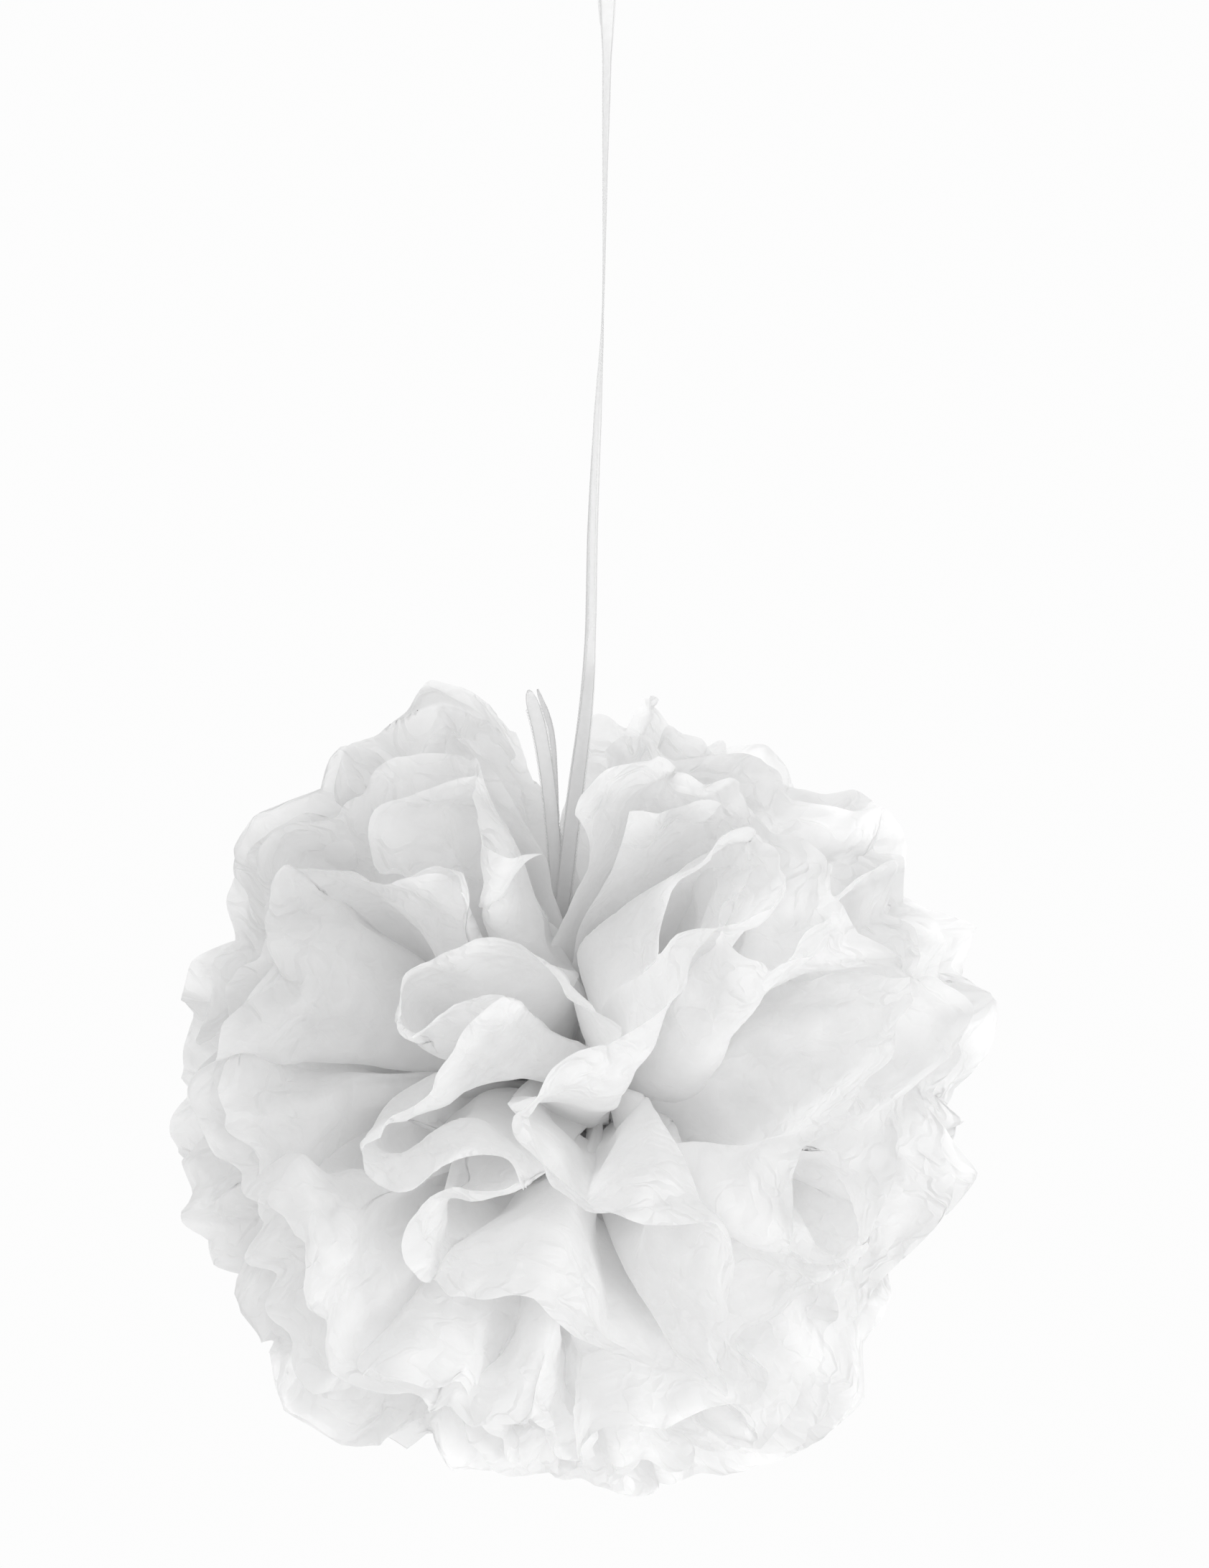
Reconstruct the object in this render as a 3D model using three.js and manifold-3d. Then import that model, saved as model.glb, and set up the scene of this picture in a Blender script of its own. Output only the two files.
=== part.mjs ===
// Tissue paper pom pom, hung on a ribbon.
// Ten sheets of tissue are stacked, folded together into an accordion of twelve panels and cut round at
// both ends. A wire ties the stack at its waist, the two halves are fanned out to left and right, and the
// sheets are pulled up one by one, five to the front and five to the back, until they fill a ball.
// A ribbon is knotted round the waist: its loop carries the ball and its two tails end in the top gap.
// Millimetres, +Z up, origin where the hanging loop bears on its hook; the front of the ball faces -Y.

import * as THREE from "three";
import { mergeVertices } from "three/addons/utils/BufferGeometryUtils.js";
import Module from "manifold-3d";

// Ball
const BALL_RADIUS = 150;
const BALL_CENTRE = new THREE.Vector3(-10, 0, -400);

// Sheets
const FRONT_TILTS = [22, 42, 58, 72, 85]; // degrees between each sheet and the ball's front axis
const PANELS = 12;
const PANEL_WIDTH = 40;
const SCALLOP_DEPTH = 12; // how far the cut between two round panel ends goes in
const SHEET_THICKNESS = 0.6; // one crumpled sheet, as thick as it stands
const LEAF_RADII = [12, 52, 100]; // where the fold lines are sampled between waist and rim
const STEEPEST_PLEAT = 0.8; // half a pleat's depth against its panel's spacing

// Waist, where all sheets are gathered
const WAIST_HALF_LENGTH = 4;
const WAIST_HALF_HEIGHT = 5.5;
const WAIST_PITCH = 1.3; // from one gathered sheet to the next
const GAP = 0.35; // left between touching pieces
const CORNER = 0.8; // inner radius of what goes round the waist, at its corners

// Where the first and the last panel of each half end, in degrees from straight up or straight down.
// The left half stands back at the top, which leaves the gap that the ribbon comes out of.
const FAN_GAPS = { right: { top: 5, bottom: 2 }, left: { top: 12.5, bottom: 6 } };

// Ribbon and wire
const RIBBON_WIDTH = 6;
const RIBBON_THICKNESS = 0.8;
const RIBBON_STEP = 15;
const TURN_WIDTH = 3.6; // the ribbon's turn round the waist, bunched up
const TURN_OFFSET = 1.2; // its middle, to the right of the waist's middle
const KNOT_RADII = [3.4, 3.8, 3.6];
const KNOT_HEIGHT = 9.4; // above the middle of the waist
const WIRE_DIAMETER = 0.9;
const WIRE_OFFSET = -2.4; // beside the ribbon's turn
const TWIST_RADIUS = 0.54;
const TWIST_PITCH = 3.2;
const TWIST_TURNS = 3;
const WRAP_STEPS = 28;

// The two strands of the hanging loop, from the knot up, over the hook and back down to the knot.
const LOOP_ROUTE = [
  [-10, -2.4, -389],
  [-11, -2.4, -380],
  [-14.5, -2.4, -366],
  [-16.5, -2.6, -343],
  [-14, -2.8, -317],
  [-11, -2.6, -292],
  [-7.6, -2.4, -265],
  [-5.6, -2.2, -238],
  [-4.9, -2, -200],
  [-3.4, -1.9, -160],
  [-1.4, -1.9, -120],
  [-0.7, -2, -70],
  [0, -2.6, -28],
  [0.2, -5, -12],
  [0.1, -4.6, -3.4],
  [0, 0, 0.4],
  [-0.1, 4.6, -3.4],
  [-0.2, 5, -12],
  [0, 2.6, -28],
  [-1.2, 2, -70],
  [-1.5, 1.9, -120],
  [-4, 1.9, -160],
  [-5.6, 2, -200],
  [-6.4, 2, -238],
  [-8.4, 2, -265],
  [-11.6, 1.8, -292],
  [-14.2, 1.4, -317],
  [-16, 1.2, -343],
  [-14, 1.2, -366],
  [-11, 1.4, -380],
  [-10, 1.6, -389],
];

// The two cut ends of the ribbon, from the knot to their tips.
const TAIL_ROUTES = [
  [
    [-10, -0.8, -389],
    [-11.8, -0.8, -380],
    [-15.5, -0.8, -366],
    [-17.6, -0.8, -343],
    [-18.8, -0.8, -317],
    [-21.2, -1, -292],
    [-24.4, -1.4, -272],
    [-28.4, -2, -257.5],
  ],
  [
    [-10, 3.2, -389],
    [-11.6, 3.2, -380],
    [-15, 3.2, -366],
    [-17, 3.4, -343],
    [-18, 3.4, -317],
    [-18.6, 3.2, -292],
    [-20.2, 2.8, -272],
    [-25.2, 2.2, -257.2],
  ],
];

const wasm = await Module();
wasm.setup();

const radians = THREE.MathUtils.degToRad;

// A solid of manifold-3d from a closed three.js geometry.
function solidOf(geometry) {
  const bare = geometry.clone();
  bare.deleteAttribute("normal");
  bare.deleteAttribute("uv");
  const merged = mergeVertices(bare, 1e-4);
  return new wasm.Manifold(
    new wasm.Mesh({
      numProp: 3,
      vertProperties: new Float32Array(merged.attributes.position.array),
      triVerts: new Uint32Array(merged.index.array),
    }),
  );
}

// A three.js geometry from a solid of manifold-3d.
function geometryOf(solid) {
  const mesh = solid.getMesh();
  const geometry = new THREE.BufferGeometry();
  geometry.setAttribute("position", new THREE.BufferAttribute(mesh.vertProperties, 3));
  geometry.setIndex(new THREE.BufferAttribute(mesh.triVerts, 1));
  geometry.computeVertexNormals();
  return geometry;
}

// Triangles between two rows of points that run from 0 to 1 in parallel, however many points each has.
function zip(first, second, triangle) {
  let a = 0;
  let b = 0;
  while (a < first.length - 1 || b < second.length - 1) {
    const nextA = (a + 1) / (first.length - 1);
    const nextB = (b + 1) / (second.length - 1);
    if (b === second.length - 1 || (a < first.length - 1 && nextA <= nextB)) {
      triangle(first[a], first[a + 1], second[b]);
      a += 1;
    } else {
      triangle(first[a], second[b + 1], second[b]);
      b += 1;
    }
  }
}

// A closed sheet: rows of { point, lift } are thickened by plus and minus lift, and walled in all round.
function thickSheet(rows) {
  const positions = [];
  const faces = [];
  const numbered = rows.map((row) =>
    row.map(({ point, lift }) => {
      const at = positions.length / 3;
      positions.push(...point.clone().add(lift).toArray());
      positions.push(...point.clone().sub(lift).toArray());
      return at;
    }),
  );
  const upAndDown = (a, b, c) => faces.push(a, b, c, a + 1, c + 1, b + 1);
  for (let i = 1; i < numbered.length; i += 1) {
    zip(numbered[i - 1], numbered[i], upAndDown);
  }
  const last = numbered[numbered.length - 1];
  const edge = [
    ...numbered[0],
    ...numbered.slice(1, -1).map((row) => row[row.length - 1]),
    ...last.slice().reverse(),
    ...numbered.slice(1, -1).reverse().map((row) => row[0]),
  ];
  edge.forEach((a, i) => {
    const b = edge[(i + 1) % edge.length];
    faces.push(a, a + 1, b, b, a + 1, b + 1);
  });
  const geometry = new THREE.BufferGeometry();
  geometry.setAttribute("position", new THREE.Float32BufferAttribute(positions, 3));
  geometry.setIndex(faces);
  return geometry;
}

// How far the round cut of a panel's end goes in, at a place across the sheet from 0 to 1.
function scallop(across) {
  const inPanel = (across * PANELS) % 1;
  return SCALLOP_DEPTH * (1 - Math.sqrt(Math.max(0, 1 - (2 * inPanel - 1) ** 2)));
}

// The accordion's zigzag, from -1 to 1, with its turns on the fold lines.
function zigzag(across) {
  const along = across * PANELS;
  const inPanel = along - Math.floor(along);
  const start = Math.floor(along) % 2 === 0 ? 1 : -1;
  return start * (1 - 2 * inPanel);
}

// One row of a fanned half: side is -1 for left and 1 for right, facing is -1 for front and 1 for back.
function fanRow({ side, facing, tilt, depth }, reach, segments) {
  const gaps = side > 0 ? FAN_GAPS.right : FAN_GAPS.left;
  const from = radians(gaps.bottom - 90);
  const to = radians(90 - gaps.top);
  const apex = new THREE.Vector3(side * WAIST_HALF_LENGTH, depth, 0);
  return Array.from({ length: segments + 1 }, (_, i) => {
    const across = i / segments;
    const turn = THREE.MathUtils.lerp(from, to, across);
    const radius = reach(across, apex);
    const spacing = ((to - from) * radius * Math.sin(tilt)) / PANELS;
    const flatDepth = Math.sqrt(Math.max(0, PANEL_WIDTH ** 2 - spacing ** 2)) / 2;
    const pleat = Math.min(flatDepth, STEEPEST_PLEAT * spacing);
    const angle = tilt - facing * zigzag(across) * Math.atan(pleat / radius);
    const ray = new THREE.Vector3(
      side * Math.sin(angle) * Math.cos(turn),
      facing * Math.cos(angle),
      Math.sin(angle) * Math.sin(turn),
    );
    const lift = new THREE.Vector3(
      side * Math.cos(angle) * Math.cos(turn),
      -facing * Math.sin(angle),
      Math.cos(angle) * Math.sin(turn),
    );
    const slope = Math.hypot(1, (2 * pleat) / spacing);
    return {
      point: ray.multiplyScalar(radius).add(apex).add(BALL_CENTRE),
      lift: lift.multiplyScalar((-facing * SHEET_THICKNESS * slope) / 2),
    };
  });
}

// One sheet from its left rim over the waist to its right rim.
function sheetGeometry(facing, tilt, depth) {
  const fine = 4 * PANELS;
  const coarse = 2 * PANELS;
  const half = (side) => {
    const leaf = { side, facing, tilt, depth };
    const rim = fanRow(
      leaf,
      (across, apex) => BALL_RADIUS - apex.length() * Math.sin(tilt) - scallop(across),
      fine,
    );
    return [...LEAF_RADII.map((radius) => fanRow(leaf, () => radius, coarse)), rim];
  };
  const waist = (side) =>
    Array.from({ length: coarse + 1 }, (_, i) => ({
      point: new THREE.Vector3(
        side * WAIST_HALF_LENGTH,
        depth,
        WAIST_HALF_HEIGHT * ((2 * i) / coarse - 1),
      ).add(BALL_CENTRE),
      lift: new THREE.Vector3(0, SHEET_THICKNESS / 2, 0),
    }));
  return thickSheet([...half(-1).reverse(), waist(-1), waist(1), ...half(1)]);
}

// A path with round corners round the waist, from one side of an opening below it to the other.
function roundedPath(path, halfDepth, halfHeight, corner, opening) {
  path.moveTo(opening, -halfHeight);
  [
    [1, -1],
    [1, 1],
    [-1, 1],
    [-1, -1],
  ].forEach(([side, rise], i) => {
    const start = ((i - 1) * Math.PI) / 2;
    const middle = [side * (halfDepth - corner), rise * (halfHeight - corner)];
    path.absarc(...middle, corner, start, start + Math.PI / 2);
  });
  path.lineTo(-opening, -halfHeight);
  return path;
}

const INNER_HEIGHT = WAIST_HALF_HEIGHT + GAP;
const INNER_DEPTH = (FRONT_TILTS.length - 0.5) * WAIST_PITCH + SHEET_THICKNESS / 2 + GAP;

// The flat, eight-sided section of the ribbon, its width along the shape's y.
function ribbonSection() {
  const half = RIBBON_WIDTH / 2;
  const thick = RIBBON_THICKNESS / 2;
  const edge = half - thick;
  return new THREE.Shape(
    [
      [thick, -edge],
      [thick, 0],
      [thick, edge],
      [0, half],
      [-thick, edge],
      [-thick, 0],
      [-thick, -edge],
      [0, -half],
    ].map(([x, y]) => new THREE.Vector2(x, y)),
  );
}

function ribbonStrand(route) {
  const path = new THREE.CatmullRomCurve3(route.map((p) => new THREE.Vector3(...p)));
  return new THREE.ExtrudeGeometry(ribbonSection(), {
    steps: Math.round(path.getLength() / RIBBON_STEP),
    extrudePath: path,
  });
}

// The ribbon is one length: tail, knot, strand, loop, strand, turn round the waist, knot, tail.
function ribbonGeometry() {
  const outline = roundedPath(
    new THREE.Shape(),
    INNER_DEPTH + RIBBON_THICKNESS,
    INNER_HEIGHT + RIBBON_THICKNESS,
    CORNER + RIBBON_THICKNESS,
    0,
  );
  outline.holes.push(roundedPath(new THREE.Path(), INNER_DEPTH, INNER_HEIGHT, CORNER, 0));
  const turn = new THREE.ExtrudeGeometry(outline, {
    depth: TURN_WIDTH,
    curveSegments: 3,
    bevelEnabled: false,
  });
  turn.translate(0, 0, -TURN_WIDTH / 2);
  turn.rotateX(Math.PI / 2).rotateZ(Math.PI / 2);
  turn.translate(BALL_CENTRE.x + TURN_OFFSET, BALL_CENTRE.y, BALL_CENTRE.z);
  const knot = new THREE.SphereGeometry(1, 12, 8);
  knot.scale(...KNOT_RADII);
  knot.translate(BALL_CENTRE.x, BALL_CENTRE.y, BALL_CENTRE.z + KNOT_HEIGHT);
  const pieces = [turn, knot, ribbonStrand(LOOP_ROUTE), ...TAIL_ROUTES.map(ribbonStrand)];
  return geometryOf(pieces.map(solidOf).reduce((whole, piece) => whole.add(piece)));
}

// The wire goes once round the waist, and its two ends are twisted together below it.
function wireGeometry() {
  const radius = WIRE_DIAMETER / 2;
  const lowest = INNER_HEIGHT + radius;
  const twist = (start) =>
    Array.from({ length: 8 * TWIST_TURNS + 1 }, (_, i) => {
      const angle = start + (Math.PI * i) / 4;
      return new THREE.Vector3(
        TWIST_RADIUS * Math.sin(angle),
        TWIST_RADIUS * Math.cos(angle),
        -lowest - WIRE_DIAMETER - (i * TWIST_PITCH) / 8,
      );
    });
  const wrap = roundedPath(
    new THREE.Path(),
    INNER_DEPTH + radius,
    lowest,
    CORNER + radius,
    TWIST_RADIUS,
  );
  const points = [
    ...twist(0).reverse(),
    ...wrap.getSpacedPoints(WRAP_STEPS).map((p) => new THREE.Vector3(0, p.x, p.y)),
    ...twist(Math.PI),
  ];
  const path = new THREE.CatmullRomCurve3(points);
  const section = new THREE.Shape(
    Array.from({ length: 6 }, (_, i) => {
      const angle = (Math.PI * i) / 3;
      return new THREE.Vector2(radius * Math.cos(angle), radius * Math.sin(angle));
    }),
  );
  const wire = new THREE.ExtrudeGeometry(section, { steps: points.length, extrudePath: path });
  return wire.translate(BALL_CENTRE.x + WIRE_OFFSET, BALL_CENTRE.y, BALL_CENTRE.z);
}

const tissue = new THREE.MeshStandardMaterial({ color: 0xf6f6f5, roughness: 0.92, metalness: 0 });
const satin = new THREE.MeshStandardMaterial({ color: 0xf9f9f8, roughness: 0.38, metalness: 0 });
const steel = new THREE.MeshStandardMaterial({ color: 0xb9bcc0, roughness: 0.35, metalness: 1 });

const pomPom = new THREE.Group();

function addMesh(name, geometry, material) {
  const mesh = new THREE.Mesh(geometry, material.clone());
  mesh.name = name;
  pomPom.add(mesh);
}

// Sheets are numbered from the front of the ball to its back.
const count = 2 * FRONT_TILTS.length;
for (let i = 0; i < count; i += 1) {
  const facing = i < FRONT_TILTS.length ? -1 : 1;
  const tilt = radians(FRONT_TILTS[facing < 0 ? i : count - 1 - i]);
  const depth = (i - (count - 1) / 2) * WAIST_PITCH;
  const name = `tissue_sheet_${String(i + 1).padStart(2, "0")}`;
  addMesh(name, sheetGeometry(facing, tilt, depth), tissue);
}
addMesh("tie_wire", wireGeometry(), steel);
addMesh("hanging_ribbon", ribbonGeometry(), satin);

export default pomPom;
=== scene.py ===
import itertools
import logging
import math
from dataclasses import dataclass, field
from enum import Enum

import bpy
import numpy as np
from mathutils import Matrix, Vector


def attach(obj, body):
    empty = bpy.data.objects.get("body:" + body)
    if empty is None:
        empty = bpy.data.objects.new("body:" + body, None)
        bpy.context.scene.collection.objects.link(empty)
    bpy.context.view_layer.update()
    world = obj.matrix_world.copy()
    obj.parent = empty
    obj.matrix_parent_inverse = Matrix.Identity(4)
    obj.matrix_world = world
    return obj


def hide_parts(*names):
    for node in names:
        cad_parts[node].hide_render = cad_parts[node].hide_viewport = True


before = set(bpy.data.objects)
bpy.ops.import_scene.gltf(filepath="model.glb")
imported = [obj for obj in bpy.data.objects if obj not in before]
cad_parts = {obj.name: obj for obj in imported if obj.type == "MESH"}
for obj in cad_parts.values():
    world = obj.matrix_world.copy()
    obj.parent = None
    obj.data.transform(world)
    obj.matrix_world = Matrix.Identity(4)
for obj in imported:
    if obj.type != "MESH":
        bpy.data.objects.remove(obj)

log = logging.getLogger("pom_pom")
Socket = bpy.types.NodeSocket

MM = 0.001
SEED = 20

BALL_CENTRE = (-10.0, 0.0, -400.0)
BALL_RADIUS = 150.0
SHEETS = 10
FRONT_SHEETS = 5


class Side(Enum):
    """The two fans of a sheet, seen from the front."""

    LEFT = -1
    RIGHT = 1


class Facing(Enum):
    """Which way a sheet's cup opens."""

    FRONT = -1
    BACK = 1


# ------------------------------------------------------------------ small helpers


def catmull_rom(rows: np.ndarray, at: np.ndarray) -> np.ndarray:
    """Read a smooth curve through rows at fractional places.

    Args:
        rows: the points that the curve passes, one a row.
        at: places along the rows, where 0 is the first row and 1 the second.

    Returns:
        One point for each place.
    """
    count = len(rows)
    padded = np.concatenate([2 * rows[:1] - rows[1:2], rows, 2 * rows[-1:] - rows[-2:-1]])
    first = np.clip(np.floor(at).astype(int), 0, count - 2)
    u = (at - first)[:, None]
    a, b, c, d = (padded[first + i] for i in range(4))
    return 0.5 * (
        2 * b + (c - a) * u + (2 * a - 5 * b + 4 * c - d) * u**2 + (3 * b - 3 * c + d - a) * u**3
    )


def unit(vectors: np.ndarray) -> np.ndarray:
    """Vectors brought to a length of 1, one a row."""
    return vectors / np.linalg.norm(vectors, axis=1)[:, None]


def distance_along(points: np.ndarray) -> np.ndarray:
    """How far along a polyline each of its points is."""
    return np.concatenate([[0.0], np.cumsum(np.linalg.norm(np.diff(points, axis=0), axis=1))])


def even_course(points: np.ndarray, count: int) -> np.ndarray:
    """Spread points evenly along a smooth curve.

    Args:
        points: the points that the curve passes.
        count: how many points to return.

    Returns:
        Points at equal distances along the curve, both ends included.
    """
    dense = catmull_rom(points, np.linspace(0, len(points) - 1, 40 * len(points)))
    run = distance_along(dense)
    want = np.linspace(0, run[-1], count)
    return np.stack([np.interp(want, run, dense[:, i]) for i in range(dense.shape[1])], 1)


def course_length(points: np.ndarray) -> float:
    """Length of a polyline."""
    return float(np.linalg.norm(np.diff(points, axis=0), axis=1).sum())


def doubled(grid: np.ndarray, axis: int) -> np.ndarray:
    """Put a smooth point between every two neighbours along an axis of a grid."""
    rows = np.moveaxis(grid, axis, 0)
    ends = np.concatenate([2 * rows[:1] - rows[1:2], rows, 2 * rows[-1:] - rows[-2:-1]])
    a, b, c, d = ends[:-3], ends[1:-2], ends[2:-1], ends[3:]
    out = np.empty((2 * len(rows) - 1,) + rows.shape[1:], rows.dtype)
    out[::2] = rows
    out[1::2] = (9 * (b + c) - a - d) / 16
    return np.moveaxis(out, 0, axis)


def ramp(values: np.ndarray, between: tuple[float, float]) -> np.ndarray:
    """Shares that grow from 0 to 1 while the values pass between two limits."""
    start, end = between
    return np.clip((values - start) / (end - start), 0, 1)


def zigzag(along: np.ndarray) -> np.ndarray:
    """A wave of straight stretches from 1 to -1 and back, turning at whole numbers."""
    whole = np.floor(along)
    return np.where(whole % 2 == 0, 1.0, -1.0) * (1 - 2 * (along - whole))


def eased(part: np.ndarray) -> np.ndarray:
    """Shares from 0 to 1 that start and end gently."""
    return part * part * (3 - 2 * part)


def wander(rng: np.random.Generator, count: int, knots: int) -> np.ndarray:
    """Smooth random values along a line.

    Args:
        rng: the source of chance.
        count: how many values to return.
        knots: how many times the values may turn.

    Returns:
        Values with a spread of about 1.
    """
    values = rng.normal(size=knots + 2)
    place = np.linspace(0, knots, count)
    first = np.floor(place).astype(int)
    part = eased(place - first)
    return values[first] * (1 - part) + values[first + 1] * part


def crowd_rims(sheets: np.ndarray, crowding: float) -> np.ndarray:
    """Move the rows of a grid towards both rims of its sheets.

    Args:
        sheets: shape (sheets, across, along, any number), rows evenly spaced from rim to rim.
        crowding: 0 keeps the rows where they are, 1 crowds them most.

    Returns:
        The grid with as many rows, closer together near the rims.
    """
    count = sheets.shape[2]
    even = np.linspace(-1, 1, count)
    place = (1 + (1 - crowding) * even + crowding * np.sin(0.5 * math.pi * even)) / 2 * (count - 1)
    first = np.clip(place.astype(int), 0, count - 2)
    part = (place - first)[:, None]
    return sheets[:, :, first] * (1 - part) + sheets[:, :, first + 1] * part


def sheet_normals(points: np.ndarray) -> np.ndarray:
    """Unit normals of a grid of sheets of shape (sheets, across, along, 3)."""
    across = np.gradient(points, axis=1)
    along = np.gradient(points, axis=2)
    normal = np.cross(across, along)
    return normal / np.maximum(np.linalg.norm(normal, axis=-1, keepdims=True), 1e-6)


# ------------------------------------------------------------------ finishes


class NodeBench:
    """Builds a node tree with short calls."""

    def __init__(self, tree: bpy.types.NodeTree) -> None:
        """Start on an emptied tree."""
        self.tree = tree
        tree.nodes.clear()

    def add(self, kind: str, inputs: dict | None = None, **settings: object) -> bpy.types.Node:
        """Add one node.

        Args:
            kind: the node's type.
            inputs: value or incoming socket for each of the node's inputs, by name or number.
            **settings: the node's own properties.

        Returns:
            The new node.
        """
        node = self.tree.nodes.new(kind)
        for name, value in settings.items():
            setattr(node, name, value)
        for key, value in (inputs or {}).items():
            if isinstance(value, bpy.types.NodeSocket):
                self.tree.links.new(value, node.inputs[key])
            else:
                node.inputs[key].default_value = value
        return node

    def noise(
        self, place: Socket, scale: float, detail: float, roughness: float = 0.5, output: str = "Fac"
    ) -> Socket:
        """Cloudy noise read at a place."""
        inputs = {"Vector": place, "Scale": scale, "Detail": detail, "Roughness": roughness}
        return self.add("ShaderNodeTexNoise", inputs).outputs[output]

    def span(
        self, value: Socket, low: float, high: float, start: float = 0.0, end: float = 1.0
    ) -> Socket:
        """A value that runs from low to high while the given one runs from start to end."""
        inputs = {"Value": value, "From Min": start, "From Max": end, "To Min": low, "To Max": high}
        return self.add("ShaderNodeMapRange", inputs).outputs[0]

    def maths(self, operation: str, first: Socket, second: Socket | float = 0.0) -> Socket:
        """One sum on one or two values."""
        return self.add("ShaderNodeMath", {0: first, 1: second}, operation=operation).outputs[0]

    def grey(self, tone: Socket) -> Socket:
        """A colour without hue."""
        return self.add("ShaderNodeCombineColor", {"Red": tone, "Green": tone, "Blue": tone}).outputs[0]

    def bump(
        self, height: Socket, strength: float, distance: float, under: Socket | None = None
    ) -> Socket:
        """A normal that follows a relief, on top of another one if given."""
        inputs = {"Strength": strength, "Distance": distance, "Height": height}
        if under is not None:
            inputs["Normal"] = under
        return self.add("ShaderNodeBump", inputs).outputs[0]

    def surface(self, shader: Socket) -> None:
        """Use a shader as the material's surface."""
        self.add("ShaderNodeOutputMaterial", {"Surface": shader})


def new_material(name: str) -> tuple[bpy.types.Material, NodeBench]:
    """An empty node material and the bench to build it on."""
    material = bpy.data.materials.new(name)
    material.use_nodes = True
    return material, NodeBench(material.node_tree)


@dataclass(frozen=True)
class TissueFinish:
    """Thin white tissue: it scatters light back and lets part of it through.

    The UV map runs from 0 to 1 both ways, so decimetres turns it into even lengths.
    """

    name: str = "tissue_paper"
    whiteness: float = 0.98
    see_through: float = 0.6
    decimetres: tuple[float, float, float] = (4.8, 3.0, 1.0)
    cloud_scale: float = 9.0
    cloud_range: tuple[float, float] = (0.3, 0.7)
    fibre_scale: float = 46.0
    fibre_stretch: float = 6.0
    fibre_height: float = 0.00006
    crinkle_scale: float = 11.0
    crinkle_height: float = 0.0022
    worn_from: tuple[float, float] = (0.28, 0.48)

    def material(self) -> bpy.types.Material:
        """Build the paper's material on the sheet's own UV map.

        Returns:
            The material.
        """
        material, bench = new_material(self.name)
        flat = bench.add("ShaderNodeTexCoord").outputs["UV"]
        even = bench.add("ShaderNodeMapping", {"Vector": flat, "Scale": self.decimetres}).outputs[0]
        cloud = bench.noise(even, self.cloud_scale, 5.0, 0.62)
        tone = bench.span(cloud, self.whiteness - 0.035, self.whiteness + 0.015, *self.cloud_range)
        thin = bench.span(cloud, self.see_through + 0.05, self.see_through - 0.05, *self.cloud_range)
        colour = bench.grey(tone)
        long = (self.decimetres[0] * self.fibre_stretch, *self.decimetres[1:])
        grain = bench.add("ShaderNodeMapping", {"Vector": flat, "Scale": long}).outputs[0]
        fibre = bench.noise(grain, self.fibre_scale, 3.0)
        bent = bench.noise(even, 6.0, 2.0, output="Color")
        shifted = bench.add(
            "ShaderNodeVectorMath", {0: bent, 1: (0.35, 0.35, 0.0), 2: even}, operation="MULTIPLY_ADD"
        )
        crinkle = bench.add(
            "ShaderNodeTexVoronoi",
            {"Vector": shifted.outputs[0], "Scale": self.crinkle_scale},
            feature="DISTANCE_TO_EDGE",
        )
        along = bench.add("ShaderNodeSeparateXYZ", {"Vector": flat}).outputs["Y"]
        out = bench.maths("ABSOLUTE", bench.maths("SUBTRACT", along, 0.5))
        worn = bench.span(out, 0.25, 1.0, *self.worn_from)
        crease = bench.maths("MULTIPLY", crinkle.outputs["Distance"], worn)
        folded = bench.bump(crease, 0.8, self.crinkle_height)
        rough = bench.bump(fibre, 0.35, self.fibre_height, folded)
        front = bench.add(
            "ShaderNodeBsdfPrincipled",
            {"Base Color": colour, "Roughness": 0.78, "Specular IOR Level": 0.18, "Normal": rough},
        )
        through = bench.add("ShaderNodeBsdfTranslucent", {"Color": colour, "Normal": rough})
        mixed = bench.add("ShaderNodeMixShader", {0: thin, 1: front.outputs[0], 2: through.outputs[0]})
        bench.surface(mixed.outputs[0])
        return material


@dataclass(frozen=True)
class SatinFinish:
    """White woven satin: long floats along the ribbon over a fine cross weave."""

    name: str = "ribbon_satin"
    whiteness: float = 0.965
    see_through: float = 0.5
    threads_across: float = 26.0
    picks_per_width: float = 11.0
    waves_a_unit: float = 6.2
    weave_height: float = 0.00008

    def material(self) -> bpy.types.Material:
        """Build the ribbon's material, woven along its UV map, whose unit is the ribbon's width.

        Returns:
            The material.
        """
        material, bench = new_material(self.name)
        flat = bench.add("ShaderNodeTexCoord").outputs["UV"]
        threads = []
        for way, number, unevenness in (("X", self.threads_across, 0.4), ("Y", self.picks_per_width, 0.8)):
            inputs = {
                "Vector": flat,
                "Scale": number / self.waves_a_unit,
                "Distortion": unevenness,
                "Detail": 1.0,
            }
            wave = bench.add("ShaderNodeTexWave", inputs, bands_direction=way)
            threads.append(wave.outputs["Fac"])
        weave = bench.maths("MULTIPLY", *threads)
        uneven = bench.noise(flat, 2.2, 3.0)
        colour = bench.grey(bench.span(uneven, self.whiteness - 0.05, self.whiteness + 0.03))
        front = bench.add(
            "ShaderNodeBsdfPrincipled",
            {
                "Base Color": colour,
                "Roughness": bench.span(weave, 0.56, 0.4),
                "Specular IOR Level": 0.4,
                "Sheen Weight": 0.3,
                "Normal": bench.bump(weave, 0.5, self.weave_height),
            },
        )
        through = bench.add("ShaderNodeBsdfTranslucent", {"Color": colour})
        mixed = bench.add(
            "ShaderNodeMixShader", {0: self.see_through, 1: front.outputs[0], 2: through.outputs[0]}
        )
        bench.surface(mixed.outputs[0])
        return material


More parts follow.
